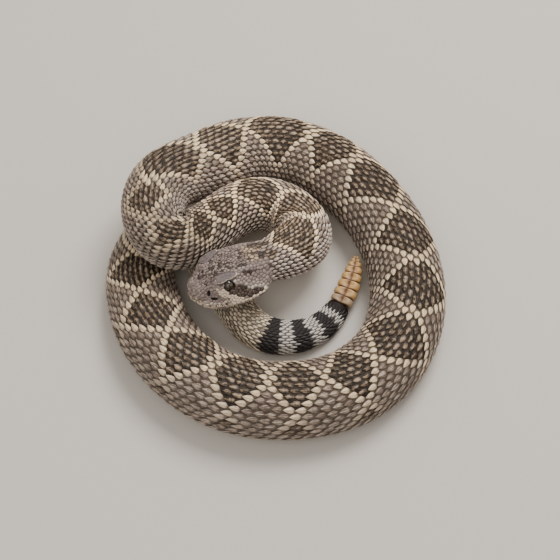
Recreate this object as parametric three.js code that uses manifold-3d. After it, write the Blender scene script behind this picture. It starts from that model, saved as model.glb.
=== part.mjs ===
// A western diamondback rattlesnake lying coiled, life size, as a museum would show it.
// Millimetres. +Z is up and z = 0 is the floor. +X is to the right and -Y is the front,
// where the side of the head that carries the left eye looks.
import * as THREE from "three";
import { mergeVertices } from "three/addons/utils/BufferGeometryUtils.js";
import ManifoldModule from "manifold-3d";

const wasm = await ManifoldModule();
wasm.setup();
const { Manifold } = wasm;

// ---------------------------------------------------------------- driving sizes
const SEAM = 0.3; // gap between two neighbouring solids
const CORNERS = 24; // corners round one section of the body
const FINE_STEP = 7.6; // spacing of the sections where the body bends hard
const LONG_STEP = 12.5; // and in the wide outer coil
const OUTER_COIL = [376, 820]; // distances from the snout where the wide spacing is used
const BELLY_DROP = 0.42; // belly plane below the middle of a section, as a share of its height
const RIDGE_RISE = 0.58; // back ridge above it
const HEAD_END = 50; // the head node ends here
const NECK_BLEND = [42, 64]; // the head's section turns into the body's between these
const MOUTH_CORNER = 43; // distance of the corner of the mouth from the snout
const PLACE = [-1.5, -5.59]; // puts the middle of the coil's bounding box over the origin

// The belly's middle line from the snout to the end of the tail: x, y, height of the
// belly above the floor, and how far the body is rolled, in degrees (+ towards the
// snake's own left).
const ROUTE = [
  [-54.4, -31.3, 34.5, -12], // snout
  [-33.8, -17.9, 34.5, -12], // brow
  [-12.5, -5.5, 31.8, -11], // jaws
  [5, 4, 25.5, -8], // neck
  [19, 16.5, 18, -6],
  [23.5, 35, 10, -8], // right hairpin
  [9.5, 56, 7, -8],
  [-13, 59.5, 10, -8],
  [-33.5, 43, 17, -10],
  [-51, 19.5, 27, -14],
  [-71, 7.5, 34, -18], // left hairpin, lying on the lower coil
  [-84, 29, 35, -18],
  [-79, 59, 29, -12],
  [-55, 83.5, 16, -6],
  [-24, 107, 4, -5],
  [11.5, 110.5, 0, -5], // back of the outer coil
  [48, 90, 0, -9],
  [76, 54, 0, -12],
  [92, 12, 0, -12], // right of the outer coil
  [93, -30, 0, -11],
  [77, -68, 0, -5],
  [46, -92, 0, 0],
  [8, -99, 0, 4], // front of the outer coil
  [-28, -94, 0, 10],
  [-60, -73, 0, 9],
  [-82, -42, 0, 3],
  [-92, -8, 0, -3], // left of the outer coil
  [-94, 20, 0, 0],
  [-83, 46, 0, 0], // turn under the left hairpin
  [-61, 47, 0, 0],
  [-50, 27, 0, 0],
  [-39, 5, 0, 0],
  [-27, -16, 0, 0],
  [-16, -36, 0, 0], // tail
  [3, -44, 0, 0],
  [20, -42.5, 0, 0],
  [34.5, -34.5, 0, 0],
  [43, -25, 0, 0],
  [46.4, -17, 1, 0], // end of the tail
];

// Distance from the snout, half width, and height as a multiple of the half width.
const GIRTH = [
  [0, 15, 1.6],
  [52, 15, 1.6],
  [70, 18, 1.72],
  [92, 19.8, 1.75],
  [150, 19.7, 1.75],
  [192, 18.6, 1.86],
  [250, 21.6, 1.74],
  [290, 24, 1.68],
  [340, 25.5, 1.63],
  [420, 26.3, 1.6],
  [500, 26.2, 1.6],
  [600, 26.8, 1.6],
  [700, 27, 1.6],
  [790, 26.5, 1.55],
  [840, 25.5, 1.28],
  [880, 21.4, 1.2],
  [915, 18.4, 1.16],
  [950, 15.6, 1.3],
  [985, 14.2, 1.52],
  [1020, 13.2, 1.58],
  [1040, 12, 1.62],
  [1060, 10.5, 1.68],
  [1075, 9.2, 1.7],
  [1090, 8.2, 1.7],
];

// Sizes of the head at distances from the snout: half width at the lips, half width at the
// brow ridges, height of the crown, of the brow edge, of the mouth line and of the chin.
const HEAD = [
  [0, 4.4, 2.8, 12.5, 11.4, 8.0, 5.0],
  [1.2, 8.6, 5.2, 14.4, 13.2, 7.0, 3.4],
  [4, 13.2, 7.6, 16.6, 15.4, 6.0, 1.6],
  [8, 17.0, 9.2, 18.6, 17.4, 5.4, 0.6],
  [11.5, 18.7, 11.2, 20.9, 19.7, 5.2, 0],
  [14, 20.0, 13.6, 23.2, 21.8, 5.2, 0],
  [18, 21.4, 15.0, 24.4, 23.0, 5.2, 0],
  [25, 23.2, 15.6, 25.2, 23.6, 5.4, 0],
  [33, 24.4, 15.2, 25.0, 22.0, 6.0, 0],
  [41, 23.9, 14.8, 24.3, 20.2, 6.6, 0],
  [48, 20.8, 14.2, 24.0, 19.4, 7.2, 0],
  [55, 17.8, 13.8, 24.2, 19.4, 8.6, 0],
  [64, 16.4, 13.4, 26.0, 21.0, 10.0, 0],
];

// Where the body is divided, as distances from the snout.
const CUTS = [50, 90, 130, 178, 210, 262, 310, 385, 472, 559, 646, 733, 820, 872, 922, 984, 1040];
const LENGTH_NAMES = ["neck"];
for (let i = 1; i <= 14; i++) LENGTH_NAMES.push("trunk_" + String(i).padStart(2, "0"));
LENGTH_NAMES.push("tail_base", "tail_bands");

const EYE = { along: 20.9, out: 14.9, up: 19, radius: 3.8 };

const RATTLE = {
  lengths: [5.6, 6.3, 6.4, 6, 5.2, 3.9, 2.7, 2.6],
  widths: [16.6, 17, 16.2, 14.4, 12.6, 9.8, 6.8, 4.2],
  thickness: 0.62, // of its width
  heading: [61, 82], // degrees from +X, at its base and at its tip
  rise: 12, // degrees above the floor
};

const COLOURS = {
  back: 0x7d6a58,
  head: 0x857a74,
  jaw: 0xb9a98e,
  tail: 0x8a7a5c,
  bands: 0xb7b1a6,
  eye: 0x2a211b,
  rattle: 0xb08d57,
};

// ---------------------------------------------------------------- small helpers
function between(table, at, column) {
  // Smooth reading of a table whose first column is the distance.
  const last = table.length - 1;
  if (at <= table[0][0]) return table[0][column];
  if (at >= table[last][0]) return table[last][column];
  let i = 0;
  while (table[i + 1][0] < at) i++;
  const [x0, x1] = [table[i][0], table[i + 1][0]];
  const [y0, y1] = [table[i][column], table[i + 1][column]];
  const slope = (k) => {
    if (k <= 0 || k >= last) return 0;
    const before = (table[k][column] - table[k - 1][column]) / (table[k][0] - table[k - 1][0]);
    const after = (table[k + 1][column] - table[k][column]) / (table[k + 1][0] - table[k][0]);
    return before * after <= 0 ? 0 : (2 * before * after) / (before + after);
  };
  const [h, t] = [x1 - x0, (at - x0) / (x1 - x0)];
  const [t2, t3] = [t * t, t * t * t];
  return (
    (2 * t3 - 3 * t2 + 1) * y0 +
    (t3 - 2 * t2 + t) * h * slope(i) +
    (3 * t2 - 2 * t3) * y1 +
    (t3 - t2) * h * slope(i + 1)
  );
}

const mix = (a, b, t) => a + (b - a) * t;
const ease = (from, to, at) => {
  const t = Math.min(1, Math.max(0, (at - from) / (to - from)));
  return t * t * (3 - 2 * t);
};

// ---------------------------------------------------------------- the middle line
function middleLine() {
  // A curve through the route, resampled every 2 mm and smoothed.
  const dense = [];
  const at = (i) => {
    const n = ROUTE.length;
    if (i < 0) return ROUTE[0].map((v, k) => 2 * v - ROUTE[1][k]);
    if (i >= n) return ROUTE[n - 1].map((v, k) => 2 * v - ROUTE[n - 2][k]);
    return ROUTE[i];
  };
  for (let i = 0; i < ROUTE.length - 1; i++) {
    const [a, b, c, d] = [at(i - 1), at(i), at(i + 1), at(i + 2)];
    for (let j = 0; j < 24; j++) {
      const t = j / 24;
      dense.push(
        b.map(
          (v, k) =>
            0.5 *
            (2 * v +
              (c[k] - a[k]) * t +
              (2 * a[k] - 5 * v + 4 * c[k] - d[k]) * t * t +
              (3 * v - a[k] - 3 * c[k] + d[k]) * t * t * t)
        )
      );
    }
  }
  dense.push([...ROUTE[ROUTE.length - 1]]);
  let points = resample(dense, 2);
  for (let pass = 0; pass < 60; pass++) {
    points = points.map((p, i) => {
      if (i === 0 || i === points.length - 1) return p;
      return p.map((v, k) => (points[i - 1][k] + 2 * v + points[i + 1][k]) / 4);
    });
  }
  return points.map(([x, y, lift, roll]) => [x + PLACE[0], y + PLACE[1], Math.max(lift, 0), roll]);
}

function distances(points) {
  const out = [0];
  for (let i = 1; i < points.length; i++) {
    const [p, q] = [points[i - 1], points[i]];
    out.push(out[i - 1] + Math.hypot(q[0] - p[0], q[1] - p[1], q[2] - p[2]));
  }
  return out;
}

function resample(points, step) {
  const along = distances(points);
  const total = along[along.length - 1];
  const count = Math.round(total / step);
  const out = [];
  let i = 0;
  for (let j = 0; j <= count; j++) {
    const s = (total * j) / count;
    while (i < points.length - 2 && along[i + 1] < s) i++;
    const t = Math.min(1, (s - along[i]) / (along[i + 1] - along[i]));
    out.push(points[i].map((v, k) => mix(v, points[i + 1][k], t)));
  }
  return out;
}

const LINE = middleLine();
const ALONG = distances(LINE);
const TOTAL = ALONG[ALONG.length - 1];

const FRAMES = LINE.map((p, i) => {
  const before = LINE[Math.max(0, i - 1)];
  const after = LINE[Math.min(LINE.length - 1, i + 1)];
  const step = after.map((v, k) => v - before[k]);
  const forward = new THREE.Vector3(step[0], step[1], step[2]).normalize();
  const left = new THREE.Vector3().crossVectors(forward, new THREE.Vector3(0, 0, 1)).normalize();
  const up = new THREE.Vector3().crossVectors(left, forward);
  return { forward, left, up };
});

// How hard the line bends sideways at each point, + towards the snake's left.
const BEND = LINE.map((p, i) => {
  const [a, b] = [Math.max(0, i - 2), Math.min(LINE.length - 1, i + 2)];
  const turn = FRAMES[b].forward.clone().sub(FRAMES[a].forward);
  return turn.dot(FRAMES[i].left) / (ALONG[b] - ALONG[a]);
});

function station(s) {
  let i = 0;
  while (i < LINE.length - 2 && ALONG[i + 1] < s) i++;
  const t = Math.min(1, Math.max(0, (s - ALONG[i]) / (ALONG[i + 1] - ALONG[i])));
  const blend = (key) => FRAMES[i][key].clone().lerp(FRAMES[i + 1][key], t).normalize();
  const p = LINE[i].map((v, k) => mix(v, LINE[i + 1][k], t));
  return {
    place: new THREE.Vector3(p[0], p[1], p[2]),
    roll: THREE.MathUtils.degToRad(p[3]),
    bend: mix(BEND[i], BEND[i + 1], t),
    forward: blend("forward"),
    left: blend("left"),
    up: blend("up"),
  };
}

// ---------------------------------------------------------------- sections
// A section is a list of [out, up] corners. Corner 0 is on the back's middle line and
// the corners go down the left side to the belly and up the right side.
function bodySection(s) {
  const half = between(GIRTH, s, 1);
  const tall = half * between(GIRTH, s, 2);
  const out = [];
  for (let k = 0; k < CORNERS; k++) {
    const turn = (2 * Math.PI * k) / CORNERS;
    const [side, rise] = [Math.sin(turn), Math.cos(turn)];
    const u = half * Math.sign(side) * Math.abs(side) ** 0.92;
    let v = rise >= 0 ? RIDGE_RISE * tall * rise ** 0.94 : -0.47 * tall * (-rise) ** 0.75;
    v = Math.max(v, -BELLY_DROP * tall);
    out.push([u, v + BELLY_DROP * tall]);
  }
  return out;
}

function headSection(s) {
  const [lip, brow, crown, edge, mouth, chin] = [1, 2, 3, 4, 5, 6].map((c) => between(HEAD, s, c));
  const half = [
    [0, crown + 0.2],
    [0.34 * brow, crown],
    [0.68 * brow, crown - 0.3],
    [0.92 * brow, crown - 0.35 * (crown - edge) - 0.3],
    [brow, edge - 0.5],
    [mix(brow, lip, 0.4), mix(edge, mouth, 0.3)],
    [mix(brow, lip, 0.72), mix(edge, mouth, 0.6)],
    [lip, mouth + 1.9],
    [lip - 0.9, mouth],
    [0.955 * lip - 0.9, mix(chin, mouth, 0.62)],
    [0.84 * lip - 0.6, mix(chin, mouth, 0.26)],
    [0.62 * lip, chin],
    [0, chin],
  ];
  const right = half.slice(1, -1).map(([u, v]) => [-u, v]);
  return [...half, ...right.reverse()];
}

function section(s) {
  const body = bodySection(s);
  if (s >= NECK_BLEND[1]) return body;
  const head = headSection(s);
  const t = ease(NECK_BLEND[0], NECK_BLEND[1], s);
  return head.map(([u, v], k) => [mix(u, body[k][0], t), mix(v, body[k][1], t)]);
}

function ring(s, shift = 0) {
  // The section at s, rolled, pressed in on the inside of a bend, and laid on the floor.
  // shift moves the whole section along the body, which opens a seam of even width.
  const at = station(s);
  const corners = section(s);
  const middle = corners[0][1] * BELLY_DROP;
  const [c, n] = [Math.cos(at.roll), Math.sin(at.roll)];
  const inside = 0.82 / Math.max(1e-6, Math.abs(at.bend));
  return corners.map(([u, v]) => {
    let out = u * c + (v - middle) * n;
    const up = middle - u * n + (v - middle) * c;
    if (out * at.bend > 0 && Math.abs(out) > 0.6 * inside) {
      const over = Math.abs(out) / inside - 0.6;
      out = Math.sign(out) * inside * (0.6 + 0.4 * Math.tanh(over / 0.4));
    }
    const p = at.place
      .clone()
      .addScaledVector(at.forward, shift)
      .addScaledVector(at.left, out)
      .addScaledVector(at.up, up);
    p.z = Math.max(p.z, 0);
    return p;
  });
}

// ---------------------------------------------------------------- solids
function loft(rings) {
  // A closed solid through rings of the same number of corners, with flat ends.
  const n = rings[0].length;
  const points = rings.flat();
  const faces = [];
  for (let i = 0; i + 1 < rings.length; i++) {
    for (let k = 0; k < n; k++) {
      const [a, b] = [i * n + k, i * n + ((k + 1) % n)];
      faces.push([a, b, a + n], [b, b + n, a + n]);
    }
  }
  const cap = (first, flip) => {
    const middle = new THREE.Vector3();
    for (let k = 0; k < n; k++) middle.addScaledVector(points[first + k], 1 / n);
    const hub = points.push(middle) - 1;
    for (let k = 0; k < n; k++) {
      const [a, b] = [first + k, first + ((k + 1) % n)];
      faces.push(flip ? [hub, b, a] : [hub, a, b]);
    }
  };
  cap(0, true);
  cap((rings.length - 1) * n, false);
  return { points, faces };
}

function asGeometry({ points, faces }) {
  const geometry = new THREE.BufferGeometry();
  const places = points.flatMap((p) => p.toArray());
  geometry.setAttribute("position", new THREE.Float32BufferAttribute(places, 3));
  geometry.setIndex(faces.flat());
  return geometry;
}

function asManifold({ points, faces }) {
  const vertProperties = new Float32Array(points.flatMap((p) => p.toArray()));
  const triVerts = new Uint32Array(faces.flat());
  return new Manifold(new wasm.Mesh({ numProp: 3, vertProperties, triVerts }));
}

function fromManifold(solid) {
  const mesh = solid.getMesh();
  const geometry = new THREE.BufferGeometry();
  const step = mesh.numProp;
  const places = [];
  for (let i = 0; i < mesh.vertProperties.length; i += step) {
    places.push(...mesh.vertProperties.slice(i, i + 3));
  }
  geometry.setAttribute("position", new THREE.Float32BufferAttribute(places, 3));
  geometry.setIndex([...mesh.triVerts]);
  return mergeVertices(geometry, 1e-4);
}

const snake = new THREE.Group();
snake.name = "coiled_rattlesnake";

function add(name, geometry, colour, roughness = 0.7) {
  const flat = geometry.toNonIndexed();
  flat.computeVertexNormals();
  const material = new THREE.MeshStandardMaterial({ color: colour, roughness, metalness: 0 });
  const mesh = new THREE.Mesh(flat, material);
  mesh.name = name;
  snake.add(mesh);
}

// Sections between two distances, closer together where the body bends hard.
function stations(from, to) {
  const step = from >= OUTER_COIL[0] && from < OUTER_COIL[1] ? LONG_STEP : FINE_STEP;
  const count = Math.max(1, Math.round((to - from) / step));
  return Array.from({ length: count + 1 }, (_, i) => mix(from, to, i / count));
}

// The rings of one length of the body, with half a seam left open at each end.
function lengthRings(distancesAlong, openEnd = true) {
  const last = distancesAlong.length - 1;
  return distancesAlong.map((s, i) => {
    if (i === 0 && s > 0) return ring(s, SEAM / 2);
    return ring(s, i === last && openEnd ? -SEAM / 2 : 0);
  });
}

// ---------------------------------------------------------------- head
const headDistances = [0, 0.5, 1.2, 2.4, 4, 6, 8.5, 11.5, 14, 17, 21, 25, 29, 33, 37, 41, 45, HEAD_END];
let head = asManifold(loft(lengthRings(headDistances)));

function headPlace(along, out, up) {
  const at = station(along);
  const middle = between(HEAD, along, 3) * BELLY_DROP;
  const [c, n] = [Math.cos(at.roll), Math.sin(at.roll)];
  return at.place
    .clone()
    .addScaledVector(at.left, out * c + (up - middle) * n)
    .addScaledVector(at.up, middle - out * n + (up - middle) * c);
}

// The lower jaw is what lies under the mouth line; the plate that parts it follows that
// line from side to side and turns down behind the corner of the mouth.
function underMouth(gap) {
  const wide = 30;
  const upper = [];
  for (let s = -4; s < MOUTH_CORNER; s += 2.35) upper.push([s, between(HEAD, Math.max(s, 0), 5) - gap]);
  upper.push([MOUTH_CORNER - gap, between(HEAD, MOUTH_CORNER, 5) - gap]);
  const outline = [[-4, -12], [MOUTH_CORNER + 2 - gap, -12], ...upper.reverse()];
  const corner = (s, z, q) => {
    const base = headPlace(Math.max(s, 0), q, z);
    const at = station(0);
    return s < 0 ? base.addScaledVector(at.forward, s) : base;
  };
  const rows = [-wide, wide].map((q) => outline.map(([s, z]) => corner(s, z, q)));
  const points = rows.flat();
  const n = outline.length;
  const flat = outline.map(([s, z]) => new THREE.Vector2(s, z));
  const faces = [];
  for (const [a, b, c] of THREE.ShapeUtils.triangulateShape(flat, [])) {
    faces.push([a, b, c], [n + a, n + c, n + b]);
  }
  for (let k = 0; k < n; k++) {
    const l = (k + 1) % n;
    faces.push([k, n + k, l], [l, n + k, n + l]);
  }
  let solid = asManifold({ points, faces });
  if (solid.volume() < 0) solid = asManifold({ points, faces: faces.map(([a, b, c]) => [a, c, b]) });
  return solid;
}

const jaw = head.intersect(underMouth(SEAM / 2));
head = head.subtract(underMouth(-SEAM / 2));

for (const [name, side] of [["eye_left", 1], ["eye_right", -1]]) {
  const centre = headPlace(EYE.along, side * EYE.out, EYE.up);
  const socket = Manifold.sphere(EYE.radius + 1.5 * SEAM, 20).translate(centre.toArray());
  head = head.subtract(socket);
  const ball = new THREE.IcosahedronGeometry(EYE.radius, 2);
  ball.translate(centre.x, centre.y, centre.z);
  add(name, mergeVertices(ball.deleteAttribute("normal").deleteAttribute("uv"), 1e-4), COLOURS.eye, 0.2);
}
add("head", fromManifold(head), COLOURS.head);
add("lower_jaw", fromManifold(jaw), COLOURS.jaw);

// ---------------------------------------------------------------- neck, trunk and tail
const ends = [...CUTS, TOTAL];
LENGTH_NAMES.slice(0, ends.length - 1).forEach((name, i) => {
  const rings = lengthRings(stations(ends[i], ends[i + 1]), i < ends.length - 2);
  const colour = name === "tail_bands" ? COLOURS.bands : name === "tail_base" ? COLOURS.tail : COLOURS.back;
  add(name, asGeometry(loft(rings)), colour);
});

// ---------------------------------------------------------------- rattle
// Each segment is a hollow-looking bell with two lobes: a groove runs along the middle of
// each broad side. The last one is the rounded button.
function rattleRing(place, across, over, width, thick, groove) {
  return Array.from({ length: 16 }, (_, k) => {
    const turn = (2 * Math.PI * k) / 16;
    const pinch = 1 - groove * Math.cos(turn) ** 8;
    return place
      .clone()
      .addScaledVector(across, (width / 2) * Math.sin(turn))
      .addScaledVector(over, (thick / 2) * Math.cos(turn) * pinch);
  });
}

function buildRattle() {
  const total = RATTLE.lengths.reduce((sum, length) => sum + length, 0);
  const [first, last] = RATTLE.heading.map(THREE.MathUtils.degToRad);
  const pitch = THREE.MathUtils.degToRad(RATTLE.rise);
  const turn = (last - first) / total; // of the axis for each millimetre
  const end = station(TOTAL);
  const middle = 0.5 * between(GIRTH, TOTAL, 1) * between(GIRTH, TOTAL, 2);
  const start = end.place.clone().addScaledVector(end.up, middle).addScaledVector(end.forward, 2.2);
  const ringAt = (distance, width) => {
    const yaw = first + turn * distance;
    const x = (Math.sin(yaw) - Math.sin(first)) / turn;
    const y = (Math.cos(first) - Math.cos(yaw)) / turn;
    const run = new THREE.Vector3(x * Math.cos(pitch), y * Math.cos(pitch), distance * Math.sin(pitch));
    const across = new THREE.Vector3(Math.sin(yaw), -Math.cos(yaw), 0);
    const axis = new THREE.Vector3(
      Math.cos(yaw) * Math.cos(pitch),
      Math.sin(yaw) * Math.cos(pitch),
      Math.sin(pitch)
    );
    const over = new THREE.Vector3().crossVectors(across, axis);
    return rattleRing(start.clone().add(run), across, over, width, width * RATTLE.thickness, 0.2);
  };
  let from = 0;
  RATTLE.lengths.forEach((length, i) => {
    // distance along the segment and width there, as shares
    const outline =
      i === RATTLE.lengths.length - 1
        ? [[0, 0.84], [0.2, 1], [0.5, 0.9], [0.8, 0.62], [1, 0.3]]
        : [[0, 0.84], [0.18, 0.97], [0.5, 1], [0.82, 0.94], [1, 0.8]];
    const rings = outline.map(([t, share]) => ringAt(from + (length - SEAM) * t, RATTLE.widths[i] * share));
    add("rattle_" + (i + 1), asGeometry(loft(rings)), COLOURS.rattle, 0.45);
    from += length;
  });
}
buildRattle();

export default snake;
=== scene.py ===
"""A western diamondback rattlesnake lying coiled, life size, with its skin, scales, head shields,
eyes and rattle. Sizes are in millimetres until a mesh is made, and in metres from there on.
+Z is up, z = 0 is the floor and the left eye looks to the front, -Y."""

import math

import bpy
import numpy as np
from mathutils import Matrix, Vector
from mathutils.bvhtree import BVHTree
from mathutils.kdtree import KDTree


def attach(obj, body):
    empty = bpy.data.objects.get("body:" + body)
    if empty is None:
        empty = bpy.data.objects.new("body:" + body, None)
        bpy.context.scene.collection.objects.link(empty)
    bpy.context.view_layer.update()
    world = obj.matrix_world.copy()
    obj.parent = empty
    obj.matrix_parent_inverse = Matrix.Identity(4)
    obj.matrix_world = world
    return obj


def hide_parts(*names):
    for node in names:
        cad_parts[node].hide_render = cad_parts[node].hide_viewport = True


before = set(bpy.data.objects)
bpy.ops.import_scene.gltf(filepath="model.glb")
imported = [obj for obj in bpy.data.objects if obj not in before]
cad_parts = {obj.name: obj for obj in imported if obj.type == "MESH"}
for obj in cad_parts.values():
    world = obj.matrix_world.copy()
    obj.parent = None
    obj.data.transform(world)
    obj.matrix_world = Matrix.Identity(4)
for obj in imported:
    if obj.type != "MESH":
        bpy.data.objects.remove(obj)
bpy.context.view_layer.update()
MM = 0.001
rng = np.random.default_rng(7)

# ---------------------------------------------------------------- driving sizes
SPACING = 2.0  # between two points of the middle line
SMOOTHINGS = 60  # times that the middle line is smoothed
CORNERS = 24  # of one section of the body
COLUMNS = 176  # of the skin, round the body
BELLY_SHARE = 0.42  # belly plane below the middle of a section, as a share of its height
RIDGE_SHARE = 0.58  # back ridge above it
NECK_BLEND = (42, 64)  # the head's section turns into the body's between these distances
PLACE = (-1.5, -5.59)  # puts the middle of the coil's box over the origin
END_ROUND = 1.7  # how far the rounded ends reach past the first and last section
HEAD_END = 50  # the head's small scales end here and the body's keeled scales begin
NAPE_END = 57  # the body's pattern begins here
MOUTH_CORNER = 43  # distance of the corner of the mouth from the snout
BEND_REACH = 0.82  # on the inside of a bend the body stays within this share of its radius
PRESS_FROM = 0.6  # and is pressed in from this share of that reach on
CAMERA = {"elevation": 57, "target": (3.5, -8.59, 20.0), "away": 1200, "lens": 110.2}

# The belly's middle line from the snout to the end of the tail: x, y, height above the
# floor, and how far the body is rolled, in degrees (+ towards the snake's left).
ROUTE = [
    (-54.4, -31.3, 34.5, -12), (-33.8, -17.9, 34.5, -12), (-12.5, -5.5, 31.8, -11),
    (5, 4, 25.5, -8), (19, 16.5, 18, -6), (23.5, 35, 10, -8), (9.5, 56, 7, -8), (-13, 59.5, 10, -8),
    (-33.5, 43, 17, -10), (-51, 19.5, 27, -14), (-71, 7.5, 34, -18), (-84, 29, 35, -18),
    (-79, 59, 29, -12), (-55, 83.5, 16, -6), (-24, 107, 4, -5), (11.5, 110.5, 0, -5),
    (48, 90, 0, -9), (76, 54, 0, -12), (92, 12, 0, -12), (93, -30, 0, -11),
    (77, -68, 0, -5), (46, -92, 0, 0), (8, -99, 0, 4), (-28, -94, 0, 10),
    (-60, -73, 0, 9), (-82, -42, 0, 3), (-92, -8, 0, -3), (-94, 20, 0, 0),
    (-83, 46, 0, 0), (-61, 47, 0, 0), (-50, 27, 0, 0), (-39, 5, 0, 0),
    (-27, -16, 0, 0), (-16, -36, 0, 0), (3, -44, 0, 0), (20, -42.5, 0, 0),
    (34.5, -34.5, 0, 0), (43, -25, 0, 0), (46.4, -17, 1, 0),
]

# Distance from the snout, half width, and height as a multiple of the half width.
GIRTH = [
    (0, 15, 1.6), (52, 15, 1.6), (70, 18, 1.72), (92, 19.8, 1.75), (150, 19.7, 1.75),
    (192, 18.6, 1.86), (250, 21.6, 1.74), (290, 24, 1.68), (340, 25.5, 1.63), (420, 26.3, 1.6),
    (500, 26.2, 1.6), (600, 26.8, 1.6), (700, 27, 1.6), (790, 26.5, 1.55), (840, 25.5, 1.28),
    (880, 21.4, 1.2), (915, 18.4, 1.16), (950, 15.6, 1.3), (985, 14.2, 1.52),
    (1020, 13.2, 1.58), (1040, 12, 1.62), (1060, 10.5, 1.68), (1075, 9.2, 1.7), (1090, 8.2, 1.7),
]

# The head at distances from the snout: half width at the lips and at the brow ridges,
# height of the crown, of the brow edge, of the mouth line and of the chin.
HEAD = [
    (0, 4.4, 2.8, 12.5, 11.4, 8, 5), (1.2, 8.6, 5.2, 14.4, 13.2, 7, 3.4),
    (4, 13.2, 7.6, 16.6, 15.4, 6, 1.6), (8, 17, 9.2, 18.6, 17.4, 5.4, 0.6),
    (11.5, 18.7, 11.2, 20.9, 19.7, 5.2, 0), (14, 20, 13.6, 23.2, 21.8, 5.2, 0),
    (18, 21.4, 15, 24.4, 23, 5.2, 0), (25, 23.2, 15.6, 25.2, 23.6, 5.4, 0),
    (33, 24.4, 15.2, 25, 22, 6, 0), (41, 23.9, 14.8, 24.3, 20.2, 6.6, 0),
    (48, 20.8, 14.2, 24, 19.4, 7.2, 0), (55, 17.8, 13.8, 24.2, 19.4, 8.6, 0),
    (64, 16.4, 13.4, 26, 21, 10, 0),
]

# Depth of the scales over the skin, on the head and at distances from the snout.
HEAD_COAT = 0.35
COAT = [
    (0, HEAD_COAT), (46, HEAD_COAT), (75, 0.7), (300, 0.95), (850, 0.95), (950, 0.7), (1095, 0.5),
]

# Where the pale lines cross on the back: distance from the snout, and how many scales
# lie one behind the other from there to the next crossing. After a half, the crossing
# falls between two scales of the middle row.
CROSSINGS = [
    (19, 11), (57, 8.5), (92, 7), (138, 6.5), (184, 4.5), (213, 4), (231, 3.5), (246, 4.5),
    (269, 6), (312, 6.5), (360, 7.5), (415, 6), (451, 6.5), (499, 6.5), (543, 6), (587, 6.5),
    (630, 6), (667, 5.5), (705, 6), (746, 6.5), (789, 6), (831, 6.5), (867, 6), (900, 6),
    (930, 6), (957, 6), (983, 6), (1009, 6), (1035, 6), (1061, 6), (1087, 6), (1113, 6),
]

# How far the pattern's middle line lies from the ridge, towards the snake's left.
PATTERN_SHIFT = [
    (60, -2), (118, 0), (204, 2), (240, 1), (287, 5), (332, 3.5), (361, -1), (415, -4),
    (451, -4), (501, -2), (587, -0.5), (667, 1), (746, 2.5), (790, 0), (848, -2), (900, 0),
]

ROWS = 12  # rows of scales on each side of the back's middle row
ROW_WIDTHS = [1] * 10 + [1.15, 1.3, 1.55]  # from the middle row down, relative to each other
BACK_SHARE = 0.755  # share of the half girth that these rows cover; the belly shields have the rest
SCALE_LENGTH = 1.36  # of the distance to the next scale of the row, so that scales overlap
SCALE_WIDTH = 1.08  # of the width of the row
SHIELD_LENGTH = 1.3  # the same two for the belly shields
SHIELD_WIDTH = 1.04
UNEVEN = 0.03  # how much the scales differ in length and width
ASKEW = 0.035  # and in place, as a share of the distance, and in turn, in radians
STRETCHED = 1.5  # where a bend stretches the skin by more than this, two scales lie in place of one
TAIL_GAP = 1.2  # bare skin in front of the rattle

LABIAL = 2.95  # length of one scale of the lips
LABIAL_REACH = 2.3  # how far such a scale may reach from its middle
GRANULE_HEIGHT = 0.46  # of the small scales of the head
BROW_HEIGHT = 0.62  # of the shields over the eyes

EYE = {"along": 20.4, "out": 14.8, "up": 19.5, "radius": 3.65, "opening": 3.1, "bulge": 0.035}
NOSTRIL = {"along": 7.7, "up": 15.2, "long": 0.65, "tall": 1.5, "lean": 0.55, "depth": 1.5}
HEAT_PIT = {"along": 9.3, "up": 12.0, "long": 1.8, "tall": 0.65, "lean": 0.0, "depth": 1.9}

RATTLE = {
    "lengths": (5.6, 6.3, 6.4, 6, 5.2, 3.9, 2.7, 2.6),
    "widths": (16.6, 17, 16.2, 14.4, 12.6, 9.8, 6.8, 4.2),
    "thickness": 0.62,  # of its width
    "heading": (61, 82),  # degrees from +X at its root and at its tip
    "rise": 12,  # degrees above the floor
    "ahead": 2.2,  # of the body's end
    "seam": 0.15,  # between two segments
}


# ---------------------------------------------------------------- camera, first
def add_camera():
    """Looks down on the coil from the front."""
    elevation = math.radians(CAMERA["elevation"])
    target = Vector(CAMERA["target"]) * MM
    back = Vector((0, -math.cos(elevation), math.sin(elevation)))
    data = bpy.data.cameras.new("camera")
    data.sensor_width = 36
    data.lens = CAMERA["lens"]
    camera = bpy.data.objects.new("camera", data)
    camera.location = target + back * CAMERA["away"] * MM
    camera.rotation_euler = (math.pi / 2 - elevation, 0, 0)
    bpy.context.scene.collection.objects.link(camera)
    bpy.context.scene.camera = camera


add_camera()


# ---------------------------------------------------------------- small helpers
def read(table, at):
    """Smooth reading of a table whose first column is the distance: a value for each of its
    other columns."""
    table = np.asarray(table, float)
    x, y = table[:, 0], table[:, 1:]
    rise = np.diff(y, axis=0) / np.diff(x)[:, None]
    product = rise[:-1] * rise[1:]
    both = np.where(product > 0, rise[:-1] + rise[1:], 1)
    inner = np.where(product > 0, 2 * product / both, 0)
    slope = np.vstack([0 * y[:1], inner, 0 * y[:1]])
    at = np.clip(np.atleast_1d(at), x[0], x[-1])
    i = np.clip(np.searchsorted(x, at, side="right") - 1, 0, len(x) - 2)
    h = (x[i + 1] - x[i])[:, None]
    t = (at - x[i])[:, None] / h
    return (
        (2 * t**3 - 3 * t**2 + 1) * y[i]
        + (t**3 - 2 * t**2 + t) * h * slope[i]
        + (3 * t**2 - 2 * t**3) * y[i + 1]
        + (t**3 - t**2) * h * slope[i + 1]
    )


def mix(a, b, share):
    return a + (b - a) * share


def ease(low, high, at):
    """0 below low, 1 above high and smooth between."""
    t = np.clip((np.asarray(at, float) - low) / (high - low), 0, 1)
    return t * t * (3 - 2 * t)


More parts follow.
